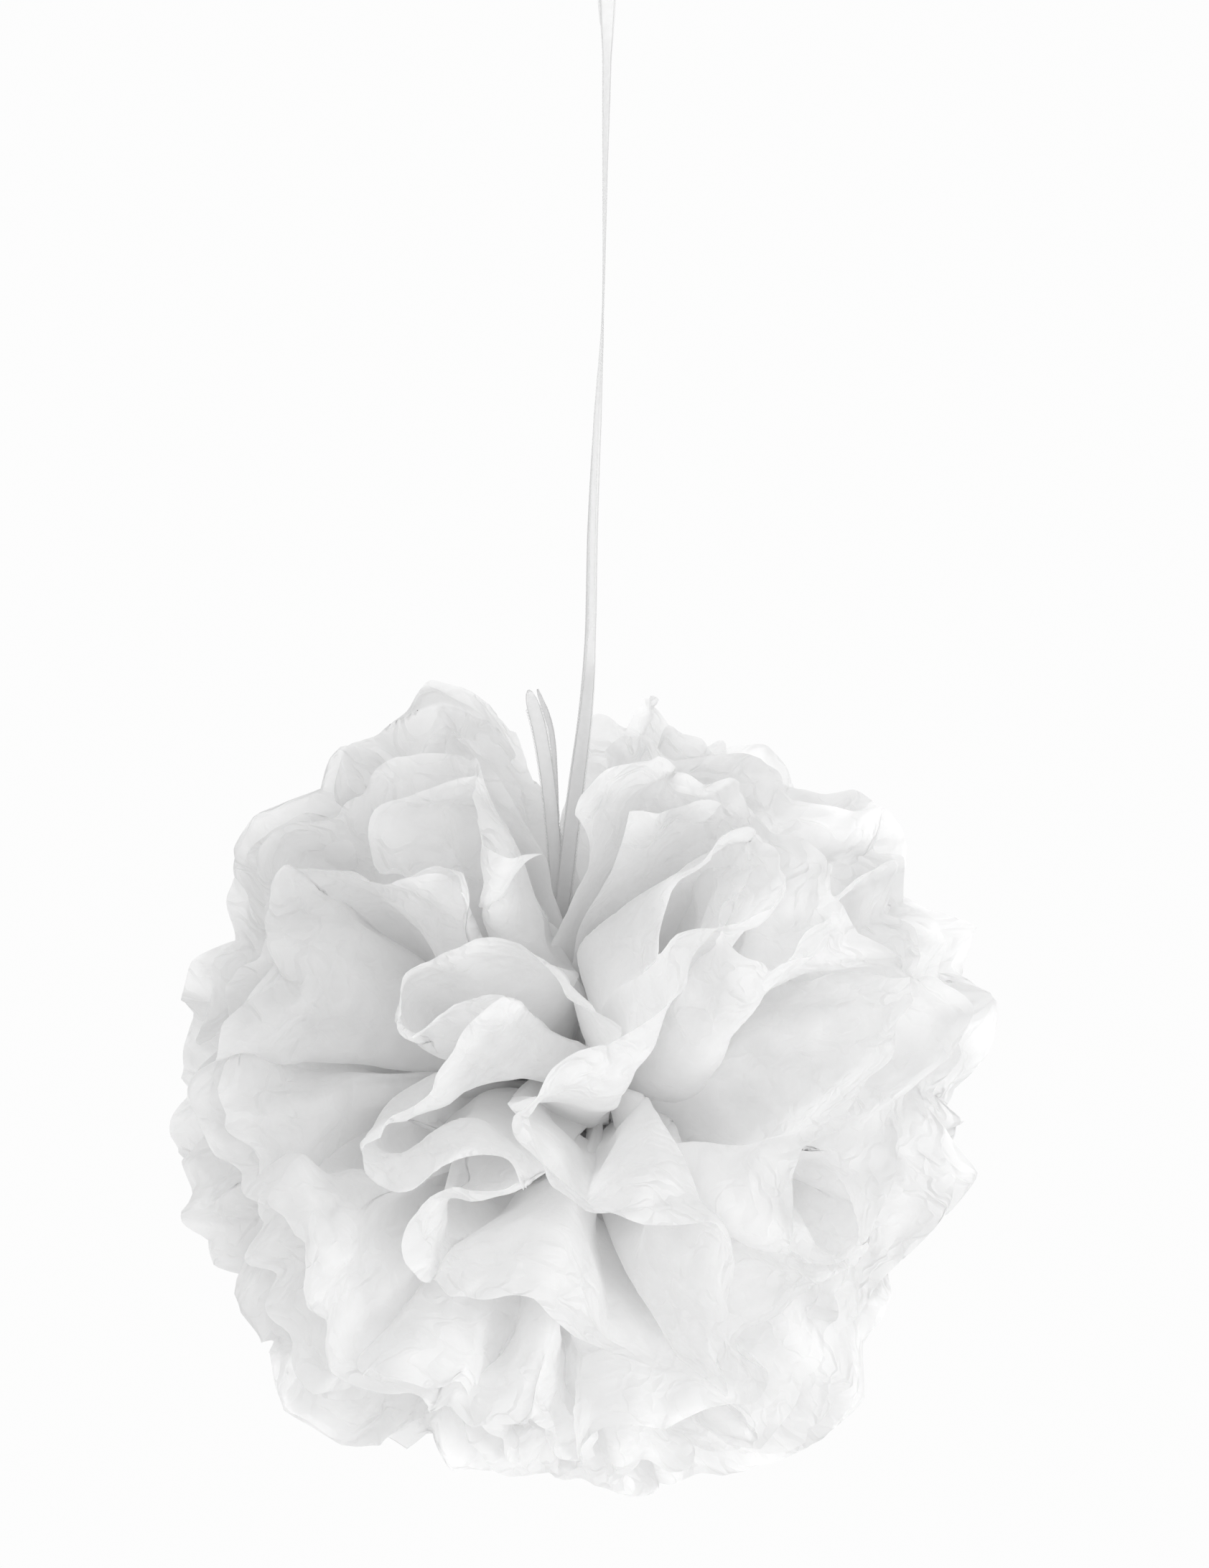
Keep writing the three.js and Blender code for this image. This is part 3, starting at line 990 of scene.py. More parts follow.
@dataclass
class Crumple:
    """Wear left by folding and by hands: straight creases, crushed edges, edges that curl and draw in.

    Sizes are in millimetres and slopes are rises per millimetre. Pairs that end in _from say where an
    effect grows from nothing to full: in shares of the way from waist to rim, and for the outline in
    millimetres from the ball's centre as seen from the front.
    """

    pleat_rise: float = 1.1
    creased_from: tuple[float, float] = (0.0, 0.3)
    crushed_from: tuple[float, float] = (0.42, 0.92)
    crushed_inside: float = 0.38
    crushed_more: float = 0.17
    lip_from: tuple[float, float] = (0.72, 1.0)
    curled_inside: float = 0.3
    curled_more: float = 0.22
    drawn_from: tuple[float, float] = (0.4, 1.0)
    patch_lengths: tuple[float, ...] = (150.0, 95.0, 60.0)
    crease_sizes: tuple[float, ...] = (58.0, 33.0)
    crease_slope: float = 0.085
    crush_sizes: tuple[float, ...] = (25.0, 15.0, 9.0)
    crush_slope: float = 0.44
    curl: float = 8.0
    draw_in: float = 0.05
    ragged: float = 0.016
    beyond_ball: float = 0.3
    outline_at: float = 146.0
    outline_from: tuple[float, float] = (80.0, 140.0)

    def facets(self, rng: np.random.Generator, flat: np.ndarray, size: float) -> np.ndarray:
        """Heights of a surface of flat three-sided facets with sharp creases between them.

        Args:
            rng: the source of chance.
            flat: flat coordinates, shape (across, along, 2), in millimetres.
            size: the usual distance between creases, in millimetres.

        Returns:
            Heights from -1 to 1, shape (across, along).
        """
        turn = rng.uniform(0, math.pi)
        phase = rng.uniform(0, 2 * math.pi, 4)
        right = flat[..., 0] + 0.3 * size * np.sin(flat[..., 1] / size / 1.3 + phase[0])
        up = flat[..., 1] + 0.3 * size * np.sin(flat[..., 0] / size / 1.1 + phase[1])
        right, up = (
            right * math.cos(turn) + up * math.sin(turn),
            (up * math.cos(turn) - right * math.sin(turn)) * 0.72,
        )
        first = (right - up / math.sqrt(3)) / size
        second = up * 2 / math.sqrt(3) / size
        first, second = first - first.min() + 0.5, second - second.min() + 0.5
        column, row = first.astype(int), second.astype(int)
        first, second = first - column, second - row
        heights = rng.uniform(-1, 1, (column.max() + 2, row.max() + 2))
        beyond = first + second > 1
        near = np.where(beyond, heights[column + 1, row + 1], heights[column, row])
        share = np.where(beyond, first + second - 1, 1 - first - second)
        along_first = np.where(beyond, 1 - second, first)
        along_second = np.where(beyond, 1 - first, second)
        return (
            near * share
            + heights[column + 1, row] * along_first
            + heights[column, row + 1] * along_second
        )

    def patches(self, rng: np.random.Generator, flat: np.ndarray) -> np.ndarray:
        """Where the paper was handled most, from 0.25 to 1.5, shape (across, along)."""
        total = np.zeros(flat.shape[:2])
        for length in self.patch_lengths:
            angle = rng.uniform(0, math.pi)
            run = flat[..., 0] * math.cos(angle) + flat[..., 1] * math.sin(angle)
            total += np.sin(run * 2 * math.pi / length + rng.uniform(0, 6))
        return np.clip(0.75 + 0.45 * total, 0.25, 1.5)

    def apply(self, rng: np.random.Generator, points: np.ndarray, flat: np.ndarray, rank: int) -> None:
        """Crumple one sheet in place.

        Args:
            rng: the source of chance.
            points: shape (across, along, 3), in millimetres about the ball's centre.
            flat: the same points on the flat sheet, shape (across, along, 2), in millimetres.
            rank: 0 for the innermost sheet of its face, counted outwards.
        """
        across = len(points)
        out = np.abs(flat[..., 1]) / np.abs(flat[..., 1]).max()
        normal = sheet_normals(points[None])[0]
        clear = ramp(out, self.creased_from)
        rise = self.pleat_rise * clear * zigzag(flat[..., 0] / SheetCut.panel_width)
        worn = self.patches(rng, flat)
        for size in self.crease_sizes:
            rise += self.crease_slope * size * clear * worn * self.facets(rng, flat, size)
        handled = (self.crushed_inside + self.crushed_more * rank) * ramp(out, self.crushed_from) ** 1.4
        for size in self.crush_sizes:
            crushed = self.patches(rng, flat) * self.facets(rng, flat, size)
            rise += self.crush_slope * size * handled * crushed
        lip = ramp(out, self.lip_from) ** 2
        bend = self.curl * (self.curled_inside + self.curled_more * rank)
        shrink = np.ones_like(out)
        for half in (flat[..., 1] < 0, flat[..., 1] >= 0):
            curl = bend * wander(rng, across, 16)[:, None] * lip
            pull = self.draw_in * rank * 0.5 * np.clip(wander(rng, across, 14), -0.15, 1.7)[:, None]
            pull = pull + self.ragged * wander(rng, across, 44)[:, None] * lip
            rise = np.where(half, rise + curl, rise)
            shrink = np.where(half, 1 - pull * ramp(out, self.drawn_from), shrink)
        points *= shrink[..., None]
        points += normal * rise[..., None]
        length = np.linalg.norm(points, axis=-1, keepdims=True)
        kept = BALL_RADIUS + self.beyond_ball * (length - BALL_RADIUS)
        points *= np.where(length > BALL_RADIUS, kept / length, 1.0)
        angle = np.degrees(np.arctan2(points[..., 2], points[..., 0]))
        turns, radii = np.array(OUTLINE, float).T
        outline = np.interp(angle, turns, radii, period=360.0)
        spread = ramp(np.hypot(points[..., 0], points[..., 2]), self.outline_from)
        points[..., ::2] *= (1 + (outline / self.outline_at - 1) * spread)[..., None]


@dataclass
class PaperBall:
    """The ten gathered tissue sheets."""

    cut: SheetCut = field(default_factory=SheetCut)
    finish: TissueFinish = field(default_factory=TissueFinish)
    crumple: Crumple = field(default_factory=Crumple)
    rows_along: int = 41
    points_a_panel: int = 5
    ribbon_room: float = 4.2
    first_steps: int = 220
    first_bend: float = 0.02
    first_gap: float = 8.0
    second_steps: int = 24
    second_bend: float = 0.008
    second_gap: float = 4.5
    pull: float = 0.06
    drawn_hold: dict[int, float] = field(default_factory=lambda: {0: 0.45, 1: 0.25})
    other_hold: float = 0.02
    crowding: float = 0.4
    pieces: list[bpy.types.Object] = field(default_factory=list)

    def settle(self, ribbon_course: np.ndarray) -> tuple[np.ndarray, np.ndarray]:
        """Plan, settle, crumple and refine all sheets.

        Args:
            ribbon_course: points of the ribbon in millimetres about the ball's centre.

        Returns:
            Points in millimetres about the ball's centre, shape (sheets, across, along, 3),
            and the same points on the flat sheet, shape (across, along, 2).
        """
        rng = np.random.default_rng(SEED)
        across, along = self.points_a_panel * self.cut.panels + 1, self.rows_along
        goal = FanPlan(self.cut).start(rng, across, along)
        share = np.abs(np.linspace(-1, 1, along)).astype(np.float32)
        hold = np.zeros((SHEETS, 1, along, 1), np.float32)
        for sheet in range(SHEETS):
            strength = self.drawn_hold.get(sheet, self.other_hold)
            hold[sheet, 0, :, 0] = strength * share**4
        room = ribbon_course, self.ribbon_room
        net = PaperNet(goal, self.cut, self.first_bend, self.first_gap, *room)
        net.settle(self.first_steps, goal, self.pull, hold)
        net.report("set up")

        points = doubled(doubled(net.points, 1), 2)
        net = PaperNet(points, self.cut, self.second_bend, self.second_gap, *room)
        net.settle(self.second_steps)
        net.report("smoothed")
        points = doubled(doubled(net.points, 1), 2)
        flat = self.cut.grid(*points.shape[1:3])
        points, flat = crowd_rims(points, self.crowding), crowd_rims(flat[None], self.crowding)[0]
        for sheet in range(SHEETS):
            rank = sheet if sheet < FRONT_SHEETS else SHEETS - 1 - sheet
            self.crumple.apply(rng, points[sheet], flat, rank)
        return points, flat

    def build(self, ribbon_course: np.ndarray) -> list[bpy.types.Object]:
        """Make the ten sheets.

        Args:
            ribbon_course: points of the ribbon in millimetres about the ball's centre.

        Returns:
            The pieces, front to back.
        """
        points, flat = self.settle(ribbon_course)
        across, along = points.shape[1:3]
        uv = flat / (self.cut.width, 2 * self.cut.half_length) + (0.0, 0.5)
        material = self.finish.material()
        quads = grid_quads(across, along)
        for sheet in range(SHEETS):
            place = (points[sheet].reshape(-1, 3) + np.array(BALL_CENTRE)) * MM
            piece = mesh_piece(f"tissue_leaf_{sheet + 1:02d}", place, quads, uv.reshape(-1, 2), material)
            self.pieces.append(piece)
            log.info("%s: %d quads", piece.name, len(quads))
        return self.pieces

    def declare(self) -> None:
        """Hang each sheet from the root body and hide the plain solid of the same number, which it
        replaces.
        """
        for number, piece in enumerate(self.pieces, 1):
            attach(piece, "root")
            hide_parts(f"tissue_sheet_{number:02d}")
            self.cut.area()


# ------------------------------------------------------------------ the ribbon


# The loop of ribbon, in metres: up from the knot, over what it hangs on, and down to the knot.
LOOP_ROUTE = [
    (-0.0100, -0.0024, -0.3890), (-0.0110, -0.0024, -0.3800), (-0.0145, -0.0024, -0.3660),
    (-0.0165, -0.0026, -0.3430), (-0.0140, -0.0028, -0.3170), (-0.0110, -0.0026, -0.2920),
    (-0.0076, -0.0024, -0.2650), (-0.0056, -0.0022, -0.2380), (-0.0049, -0.0020, -0.2000),
    (-0.0034, -0.0019, -0.1600), (-0.0014, -0.0019, -0.1200), (-0.0007, -0.0020, -0.0700),
    (0.0000, -0.0026, -0.0280), (0.0002, -0.0050, -0.0120), (0.0001, -0.0046, -0.0034),
    (0.0000, 0.0000, 0.0004), (-0.0001, 0.0046, -0.0034), (-0.0002, 0.0050, -0.0120),
    (0.0000, 0.0026, -0.0280), (-0.0012, 0.0020, -0.0700), (-0.0015, 0.0019, -0.1200),
    (-0.0040, 0.0019, -0.1600), (-0.0056, 0.0020, -0.2000), (-0.0064, 0.0020, -0.2380),
    (-0.0084, 0.0020, -0.2650), (-0.0116, 0.0018, -0.2920), (-0.0142, 0.0014, -0.3170),
    (-0.0160, 0.0012, -0.3430), (-0.0140, 0.0012, -0.3660), (-0.0110, 0.0014, -0.3800),
    (-0.0100, 0.0016, -0.3890),
]

# How far the ribbon's width is turned from left-right at each point of the loop, in degrees.
LOOP_TURNS = [
    60, 50, 40, 25, 15, 20, 40, 62, 60, 64, 88, 74, 58, 30, 6, 0, -6, -30, -70, -86, -92, -104,
    -118, -120, -126, -135, -140, -130, -120, -110, -100,
]

# The two cut ends of the ribbon, in metres, from the knot to their tips, and how they are turned.
TAIL_ROUTES = [
    [
        (-0.0100, -0.0008, -0.3890), (-0.0118, -0.0008, -0.3800), (-0.0155, -0.0008, -0.3660),
        (-0.0176, -0.0008, -0.3430), (-0.0188, -0.0008, -0.3170), (-0.0212, -0.0010, -0.2920),
        (-0.0244, -0.0014, -0.2720), (-0.0284, -0.0020, -0.2575),
    ],
    [
        (-0.0100, 0.0032, -0.3890), (-0.0116, 0.0032, -0.3800), (-0.0150, 0.0032, -0.3660),
        (-0.0170, 0.0034, -0.3430), (-0.0180, 0.0034, -0.3170), (-0.0186, 0.0032, -0.2920),
        (-0.0202, 0.0028, -0.2720), (-0.0252, 0.0022, -0.2572),
    ],
]
TAIL_TURNS = [[70, 55, 45, 38, 30, 28, 26, 24], [-95, -90, -84, -80, -76, -74, -72, -70]]


@dataclass
class RibbonStrand:
    """A stretch of flat ribbon along a route, in metres.

    A rounded end takes up the last share of the length, end_share.
    """

    name: str
    route: list[tuple[float, float, float]]
    turns: list[float]
    width: float = 0.0054
    thickness: float = 0.00032
    step: float = 0.0012
    crown: float = 0.05
    rounded_end: bool = False
    end_share: float = 1 / 14
    across: int = 10
    course: np.ndarray = field(default=None, repr=False)
    sideways: np.ndarray = field(default=None, repr=False)
    face: np.ndarray = field(default=None, repr=False)

    def lay(self) -> None:
        """Work out the course and which way the ribbon's width and face point along it."""
        control = np.array(self.route)
        smooth = catmull_rom(control, np.linspace(0, len(control) - 1, 30 * len(control)))
        count = int(round(course_length(smooth) / self.step)) + 1
        self.course = even_course(control, count)
        tangent = unit(np.gradient(self.course, axis=0))
        run = distance_along(control)
        along = np.linspace(0, run[-1], count)
        turn = np.radians(np.interp(along, run, self.turns))
        level = unit(np.array([1.0, 0.0, 0.0]) - tangent * tangent[:, :1])
        other = np.cross(tangent, level)
        self.sideways = level * np.cos(turn)[:, None] + other * np.sin(turn)[:, None]
        self.face = np.cross(tangent, self.sideways)

    def section(self) -> np.ndarray:
        """The ribbon's closed section: (across, out) in shares of its half width and half thickness."""
        side = np.linspace(-1, 1, self.across)
        upper = np.stack([side, np.ones(self.across)], 1)
        lower = np.stack([side[::-1], -np.ones(self.across)], 1)
        return np.concatenate([upper, lower])

    def build(self, material: bpy.types.Material) -> bpy.types.Object:
        """Sweep the section along the course.

        Args:
            material: the ribbon's finish.

        Returns:
            The strand as a closed mesh.
        """
        section = self.section()
        count = len(self.course)
        half = np.full(count, self.width / 2)
        if self.rounded_end:
            near_end = np.clip(1 - np.linspace(1 / self.end_share, 0, count), 0, 1)
            half *= np.sqrt(np.clip(1 - near_end**2, 0.02, 1))
        bow = self.crown * self.width * (1 - section[:, 0] ** 2)
        out = section[None, :, 1] * self.thickness / 2 + bow[None]
        points = (
            self.course[:, None]
            + self.sideways[:, None] * (section[None, :, 0] * half[:, None])[..., None]
            + self.face[:, None] * out[..., None]
        )
        ring = len(section)
        quads = grid_quads(count, ring, ring=True)
        cap = np.arange(self.across - 1)
        first = np.stack([cap, cap + 1, ring - 2 - cap, ring - 1 - cap], 1)
        last = first[:, ::-1] + (count - 1) * ring
        along = np.linspace(0, course_length(self.course) / self.width, count)
        quads = np.concatenate([quads, first, last])
        return mesh_piece(self.name, points.reshape(-1, 3), quads, strip_uv(section, along), material)


def new_tree(name: str, sizes: tuple[str, ...]) -> tuple[NodeBench, bpy.types.Node]:
    """Start a geometry tree from one mesh to another.

    Args:
        name: the tree's name.
        sizes: names of the numbers that it takes.

    Returns:
        The bench to build the tree on, and the node that holds its inputs.
    """
    tree = bpy.data.node_groups.new(name, "GeometryNodeTree")
    sockets = tree.interface
    sockets.new_socket("Geometry", in_out="INPUT", socket_type="NodeSocketGeometry")
    for size in sizes:
        sockets.new_socket(size, in_out="INPUT", socket_type="NodeSocketFloat")
    sockets.new_socket("Geometry", in_out="OUTPUT", socket_type="NodeSocketGeometry")
    bench = NodeBench(tree)
    return bench, bench.add("NodeGroupInput")


def end_tree(bench: NodeBench, shape: Socket, material: bpy.types.Material) -> bpy.types.NodeTree:
    """Give the finished shape its material, make it the tree's result and return the tree."""
    real = bench.add("GeometryNodeRealizeInstances", {"Geometry": shape})
    dressed = bench.add("GeometryNodeSetMaterial", {"Geometry": real.outputs[0], "Material": material})
    bench.add("NodeGroupOutput", {"Geometry": dressed.outputs[0]})
    return bench.tree


def circle(bench: NodeBench, corners: int, radius: Socket) -> Socket:
    """A closed ring with a number of corners."""
    inputs = {"Resolution": corners, "Radius": radius}
    return bench.add("GeometryNodeCurvePrimitiveCircle", inputs).outputs[0]


def swept(bench: NodeBench, line: Socket, corners: int, radius: Socket, caps: bool = False) -> Socket:
    """A round section swept along a line, with its ends closed or open."""
    section = circle(bench, corners, radius)
    inputs = {"Curve": line, "Profile Curve": section, "Fill Caps": caps}
    return bench.add("GeometryNodeCurveToMesh", inputs).outputs[0]


@dataclass
class PicotEdge:
    """The row of tiny thread loops that finishes both edges of the ribbon."""

    spacing: float = 0.0012
    loop_radius: float = 0.00042
    thread_radius: float = 0.0001

    def tree(self, material: bpy.types.Material) -> bpy.types.NodeTree:
        """Build the node tree that sets a loop at every step along the edge lines.

        Args:
            material: the thread's finish.

        Returns:
            The tree, with its sizes as named inputs.
        """
        bench, given = new_tree("picot_edge", ("Spacing", "Loop Radius", "Thread Radius"))
        line = bench.add("GeometryNodeMeshToCurve", {"Mesh": given.outputs["Geometry"]})
        even = bench.add(
            "GeometryNodeResampleCurve",
            {"Curve": line.outputs[0], "Length": given.outputs["Spacing"]},
            mode="LENGTH",
        )
        ring = circle(bench, 7, given.outputs["Loop Radius"])
        loop = swept(bench, ring, 4, given.outputs["Thread Radius"])
        facing = bench.add("GeometryNodeInputNamedAttribute", {"Name": "face"}, data_type="FLOAT_VECTOR")
        running = bench.add("GeometryNodeInputNamedAttribute", {"Name": "run"}, data_type="FLOAT_VECTOR")
        flat = bench.add("FunctionNodeAlignRotationToVector", {"Vector": facing.outputs[0]}, axis="Z")
        turned = bench.add(
            "FunctionNodeAlignRotationToVector",
            {"Rotation": flat.outputs[0], "Vector": running.outputs[0]},
            axis="X",
            pivot_axis="Z",
        )
        placed = bench.add(
            "GeometryNodeInstanceOnPoints",
            {
                "Points": even.outputs[0],
                "Instance": loop,
                "Rotation": turned.outputs[0],
                "Scale": (1.25, 1.0, 1.0),
            },
        )
        return end_tree(bench, placed.outputs[0], material)

    def build(self, strand: RibbonStrand, tree: bpy.types.NodeTree) -> bpy.types.Object:
        """Make the loops along both edges of one strand.

        Args:
            strand: the laid strand.
            tree: the tree from this class.

        Returns:
            The loops as one plain mesh.
        """
        reach = strand.width / 2 + self.loop_radius * 0.35
        ends = slice(6, -6)
        run = unit(np.gradient(strand.course, axis=0))
        lines = [strand.course[ends] + side * reach * strand.sideways[ends] for side in (-1, 1)]
        count = len(lines[0])
        mesh = bpy.data.meshes.new("picot_line")
        edges = [(line * count + i, line * count + i + 1) for line in (0, 1) for i in range(count - 1)]
        mesh.from_pydata(np.concatenate(lines).tolist(), edges, [])
        for name, values in (("face", strand.face[ends]), ("run", run[ends])):
            layer = mesh.attributes.new(name, "FLOAT_VECTOR", "POINT")
            layer.data.foreach_set("vector", np.concatenate([values, values]).astype(np.float32).ravel())
        values = {
            "Spacing": self.spacing,
            "Loop Radius": self.loop_radius,
            "Thread Radius": self.thread_radius,
        }
        return grown_piece(f"{strand.name}_picots", mesh, tree, values)


def grown_piece(
    name: str, mesh: bpy.types.Mesh, tree: bpy.types.NodeTree, values: dict[str, float]
) -> bpy.types.Object:
    """Run a geometry tree on a mesh and keep its result as a plain mesh.

    Args:
        name: the piece's name.
        mesh: what the tree starts from.
        tree: the geometry tree.
        values: a value for each named input.

    Returns:
        The finished piece, with no modifier left on it.
    """
    seed = bpy.data.objects.new(name, mesh)
    bpy.context.scene.collection.objects.link(seed)
    modifier = seed.modifiers.new("grow", "NODES")
    modifier.node_group = tree
    for item in tree.interface.items_tree:
        if item.item_type == "SOCKET" and item.in_out == "INPUT" and item.name in values:
            modifier[item.identifier] = values[item.name]
    bpy.context.view_layer.update()
    seen = seed.evaluated_get(bpy.context.evaluated_depsgraph_get())
    made = bpy.data.meshes.new_from_object(seen)
    seed.modifiers.clear()
    seed.data = made
    made.name = name
    bpy.data.meshes.remove(mesh)
    made.polygons.foreach_set("use_smooth", np.ones(len(made.polygons), bool))
    return seed


@dataclass
class HangingRibbon:
    """The ribbon: a loop up to what it hangs on, two tails, a knot, and a turn round the waist."""

    finish: SatinFinish = field(default_factory=SatinFinish)
    declared_width: float = 0.006
    turn_width: float = 0.0034
    turn_offset: float = 0.0012
    turn_half: tuple[float, float] = (0.00665, 0.0061)
    knot_centre: tuple[float, float, float] = (-0.010, 0.0, -0.3906)
    knot_radius: float = 0.0029
    loop: RibbonStrand = None
    tails: list[RibbonStrand] = field(default_factory=list)
    pieces: dict[str, bpy.types.Object] = field(default_factory=dict)
    picots: dict[str, bpy.types.Object] = field(default_factory=dict)

    def build(self) -> None:
        """Make the loop, the tails, their picot edges, the knot and the turn."""
        material = self.finish.material()
        self.loop = RibbonStrand("ribbon_loop", LOOP_ROUTE, LOOP_TURNS)
        self.tails = [
            RibbonStrand(f"ribbon_tail_{i}", route, turns, rounded_end=True)
            for i, (route, turns) in enumerate(zip(TAIL_ROUTES, TAIL_TURNS), 1)
        ]
        picot = PicotEdge()
        tree = picot.tree(material)
        for strand in (self.loop, *self.tails):
            strand.lay()
            self.pieces[strand.name] = strand.build(material)
            self.picots[strand.name] = picot.build(strand, tree)
            log.info("%s: %.3f m", strand.name, course_length(strand.course))
        self.pieces["ribbon_turn"] = self.build_turn(material)
        for number, lean in enumerate((34.0, -38.0), 1):
            self.pieces[f"ribbon_knot_{number}"] = self.build_wrap(number, lean, material)

    def band(
        self, name: str, ring: np.ndarray, out: np.ndarray, axis: np.ndarray, material: bpy.types.Material
    ) -> bpy.types.Object:
        """A closed band of bunched ribbon.

        Args:
            name: the piece's name.
            ring: points round the band, in metres.
            out: which way is outwards at each.
            axis: the band's width direction at each.
            material: the finish.

        Returns:
            The band.
        """
        side = np.linspace(-1, 1, 15)
        ridges = 0.00016 * np.cos(side * math.pi * 3)
        shape = np.concatenate(
            [
                np.stack([side, 0.0004 * np.sqrt(1.02 - side**2) + ridges], 1),
                np.stack([side[::-1], np.full(15, -0.00012)], 1),
            ]
        )
        half = self.turn_width / 2
        points = ring[:, None] + out[:, None] * shape[None, :, 1:2]
        points = points + axis[:, None] * (shape[None, :, :1] * half)
        count = len(ring)
        quads = grid_quads(count + 1, len(shape), ring=True) % (count * len(shape))
        uv = strip_uv(shape, np.linspace(0, 8, count))
        return mesh_piece(name, points.reshape(-1, 3), quads[:, ::-1], uv, material)

    def build_turn(self, material: bpy.types.Material) -> bpy.types.Object:
        """The turn round the waist, a rounded oblong beside the wire."""
        angle = np.linspace(0, 2 * math.pi, 72, endpoint=False)
        power = 0.55
        half_y, half_z = self.turn_half
        y = half_y * np.sign(np.cos(angle)) * np.abs(np.cos(angle)) ** power
        z = half_z * np.sign(np.sin(angle)) * np.abs(np.sin(angle)) ** power
        x = np.full_like(y, self.turn_offset)
        ring = np.stack([x, y, z], 1) + np.array(BALL_CENTRE) * MM
        out = np.stack([np.zeros_like(y), np.cos(angle), np.sin(angle)], 1)
        axis = np.repeat([[1.0, 0.0, 0.0]], len(angle), 0)
        return self.band("ribbon_turn", ring, out, axis, material)

    def build_wrap(self, number: int, lean: float, material: bpy.types.Material) -> bpy.types.Object:
        """One of the two crossing bands of the knot, leaning by an angle in degrees."""
        angle = np.linspace(0, 2 * math.pi, 40, endpoint=False)
        flat = np.stack([np.cos(angle), np.sin(angle), np.zeros_like(angle)], 1)
        turn = np.array(Matrix.Rotation(math.radians(lean), 3, "Y"))
        out = flat @ turn.T
        radius = self.knot_radius * (1 + 0.06 * number)
        ring = out * radius + np.array(self.knot_centre)
        axis = np.repeat([turn @ np.array([0.0, 0.0, 1.0])], len(angle), 0)
        return self.band(f"ribbon_knot_{number}", ring, out, axis, material)

    def ball_course(self) -> np.ndarray:
        """Points of all strands inside the ball, in millimetres about the ball's centre."""
        courses = [s.course[::4] for s in (self.loop, *self.tails)]
        points = np.concatenate(courses) / MM - np.array(BALL_CENTRE)
        return points[(points[:, 2] > 16) & (points[:, 2] < BALL_RADIUS + 5)]

    def declare(self) -> None:
        """Hang the ribbon's pieces and picot edges from the root body and hide the plain solid that they
        replace.
        """
        for piece in [*self.pieces.values(), *self.picots.values()]:
            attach(piece, "root")
        for piece in self.pieces.values():
            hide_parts("hanging_ribbon")
        for strand in (self.loop, *self.tails):
            round(course_length(strand.course), 3)


# ------------------------------------------------------------------ the wire


@dataclass
class TieWire:
    """The steel wire that gathers the sheets: once round the waist, its ends twisted together."""

    finish: WireFinish = field(default_factory=WireFinish)
    radius: float = 0.00045
    offset: float = -0.0024
    half_depth: float = 0.00695
    half_height: float = 0.0063
    corner: float = 0.00125
    twist_radius: float = 0.0006
    twist_pitch: float = 0.0026
    twist_turns: int = 4
    piece: bpy.types.Object = None

    def course(self) -> np.ndarray:
        """Centreline of the wire, in metres, from one twisted end to the other."""
        steps = np.arange(12 * self.twist_turns + 1)
        ends = []
        for start in (0.0, math.pi):
            angle = start + 2 * math.pi * steps / 12
            drop = -self.half_height - 2 * self.radius - steps * self.twist_pitch / 12
            swing = self.twist_radius * np.sin(angle), self.twist_radius * np.cos(angle), drop
            ends.append(np.stack(swing, 1))
        wrap = [(0.0, self.twist_radius, -self.half_height)]
        quarter = np.linspace(0, math.pi / 2, 7)
        for turn, (side, rise) in enumerate(((1, -1), (1, 1), (-1, 1), (-1, -1))):
            angle = quarter + (turn - 1) * math.pi / 2
            y = side * (self.half_depth - self.corner) + self.corner * np.cos(angle)
            z = rise * (self.half_height - self.corner) + self.corner * np.sin(angle)
            wrap += list(zip(np.zeros_like(y), y, z))
        wrap.append((0.0, -self.twist_radius, -self.half_height))
        points = np.concatenate([ends[0][::-1], np.array(wrap), ends[1]])
        return points + np.array([self.offset, 0, 0]) + np.array(BALL_CENTRE) * MM

    def tree(self, material: bpy.types.Material) -> bpy.types.NodeTree:
        """Build the node tree that sweeps a round section along the wire's line.

        Args:
            material: the wire's finish.

        Returns:
            The tree, with the wire's radius as a named input.
        """
        bench, given = new_tree("round_wire", ("Wire Radius",))
        line = bench.add("GeometryNodeMeshToCurve", {"Mesh": given.outputs["Geometry"]})
        wire = swept(bench, line.outputs[0], 12, given.outputs["Wire Radius"], caps=True)
        return end_tree(bench, wire, material)

    def build(self) -> None:
        """Make the wire."""
        points = self.course()
        mesh = bpy.data.meshes.new("wire_line")
        mesh.from_pydata(points.tolist(), [(i, i + 1) for i in range(len(points) - 1)], [])
        tree = self.tree(self.finish.material())
        self.piece = grown_piece("waist_wire", mesh, tree, {"Wire Radius": self.radius})
        log.info("waist_wire: %d faces", len(self.piece.data.polygons))

    def declare(self) -> None:
        """Hang the wire from the root body and hide the plain solid that it replaces."""
        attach(self.piece, "root")
        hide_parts("tie_wire")


# ------------------------------------------------------------------ the studio


@dataclass(frozen=True)
class SoftLight:
    """A square light: where it stands and its size in metres, and its power in watts."""

    name: str
    place: tuple[float, float, float]
    size: float
    power: float


# A key light low on the right, a wide fill in front, and a wide one behind that shines through the paper.
LIGHTS = (
    SoftLight("key_light", (1.2, -1.1, -0.9), 0.5, 9.5),
    SoftLight("fill_light", (0.2, -2.0, -0.4), 1.4, 10.5),
    SoftLight("back_light", (0.0, 2.2, -0.1), 2.0, 22.0),
)


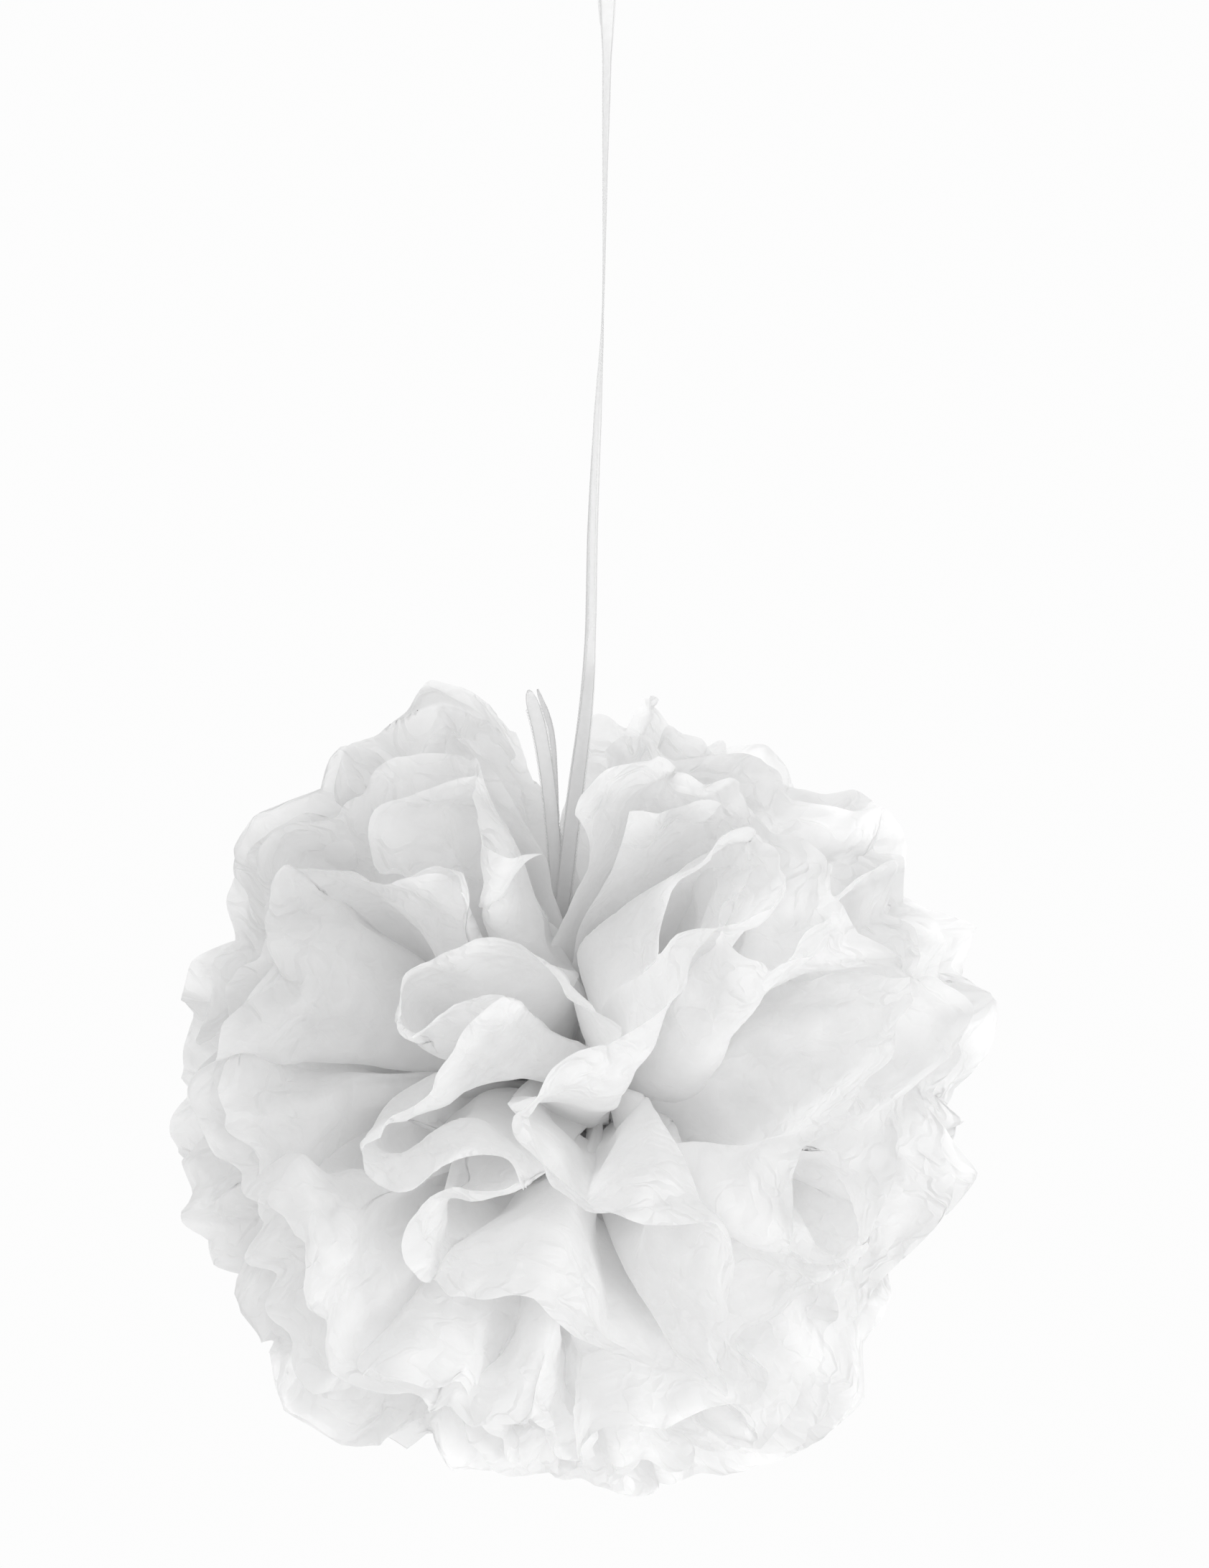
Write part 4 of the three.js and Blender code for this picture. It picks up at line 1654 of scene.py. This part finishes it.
@dataclass
class Studio:
    """Camera, soft light and a plain pale floor."""

    distance: float = 2.2
    view_height: float = 0.567
    view_centre: tuple[float, float, float] = (-0.0009, 0.0, -0.2915)
    floor_drop: float = 1.25
    floor_radius: float = 4.4
    floor_rings: int = 6
    floor_corners: int = 96
    backdrop: float = 0.98
    sky: float = 0.68
    bounces: int = 14
    finish: FloorFinish = field(default_factory=FloorFinish)

    def build_camera(self) -> None:
        """A level camera with a long lens, straight in front."""
        data = bpy.data.cameras.new("camera")
        data.sensor_width = 36.0
        data.lens = data.sensor_width * self.distance / self.view_height
        camera = bpy.data.objects.new("camera", data)
        bpy.context.scene.collection.objects.link(camera)
        camera.location = Vector(self.view_centre) + Vector((0, -self.distance, 0))
        camera.rotation_euler = (math.pi / 2, 0, 0)
        bpy.context.scene.camera = camera

    def build_light(self) -> None:
        """A white surround and the lights, all aimed at the ball's centre."""
        world = bpy.data.worlds.new("surround")
        world.use_nodes = True
        bench = NodeBench(world.node_tree)
        seen = bench.add("ShaderNodeLightPath").outputs["Is Camera Ray"]
        strength = bench.add(
            "ShaderNodeMapRange", {"Value": seen, "To Min": self.sky, "To Max": self.backdrop}
        )
        background = bench.add("ShaderNodeBackground", {"Strength": strength.outputs[0]})
        background.inputs["Color"].default_value = (1.0, 1.0, 1.0, 1.0)
        bench.add("ShaderNodeOutputWorld", {"Surface": background.outputs[0]})
        bpy.context.scene.world = world
        bpy.context.scene.view_settings.view_transform = "Standard"
        bpy.context.scene.cycles.max_bounces = self.bounces + 2
        bpy.context.scene.cycles.diffuse_bounces = self.bounces
        aim = Vector(BALL_CENTRE) * MM
        for plan in LIGHTS:
            data = bpy.data.lights.new(plan.name, "AREA")
            data.size = plan.size
            data.energy = plan.power
            light = bpy.data.objects.new(plan.name, data)
            bpy.context.scene.collection.objects.link(light)
            light.location = plan.place
            light.visible_camera = False
            light.rotation_euler = (aim - light.location).to_track_quat("-Z", "Y").to_euler()

    def build_floor(self) -> None:
        """A round floor well below the ball, its innermost ring too small to see."""
        count = self.floor_corners
        angle = np.linspace(0, 2 * math.pi, count, endpoint=False)
        rim = np.stack([np.cos(angle), np.sin(angle)], 1)
        rings = np.linspace(0.0001, 1, self.floor_rings)[:, None, None] * rim * self.floor_radius
        points = np.concatenate([rings, np.full(rings.shape[:2] + (1,), -self.floor_drop)], -1)
        quads = grid_quads(self.floor_rings, count, ring=True)
        floor = mesh_piece("floor", points.reshape(-1, 3), quads, None, self.finish.material())


# ------------------------------------------------------------------ all together


def main() -> None:
    """Build the studio, the ribbon, the wire and the paper, in that order."""
    logging.basicConfig(level=logging.INFO, format="%(name)s: %(message)s")
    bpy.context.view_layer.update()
    studio = Studio()
    studio.build_camera()
    ribbon = HangingRibbon()
    ribbon.build()
    wire = TieWire()
    wire.build()
    paper = PaperBall()
    paper.build(ribbon.ball_course())
    studio.build_light()
    studio.build_floor()
    for part in (ribbon, wire, paper):
        part.declare()


if __name__ == "__main__":
    main()
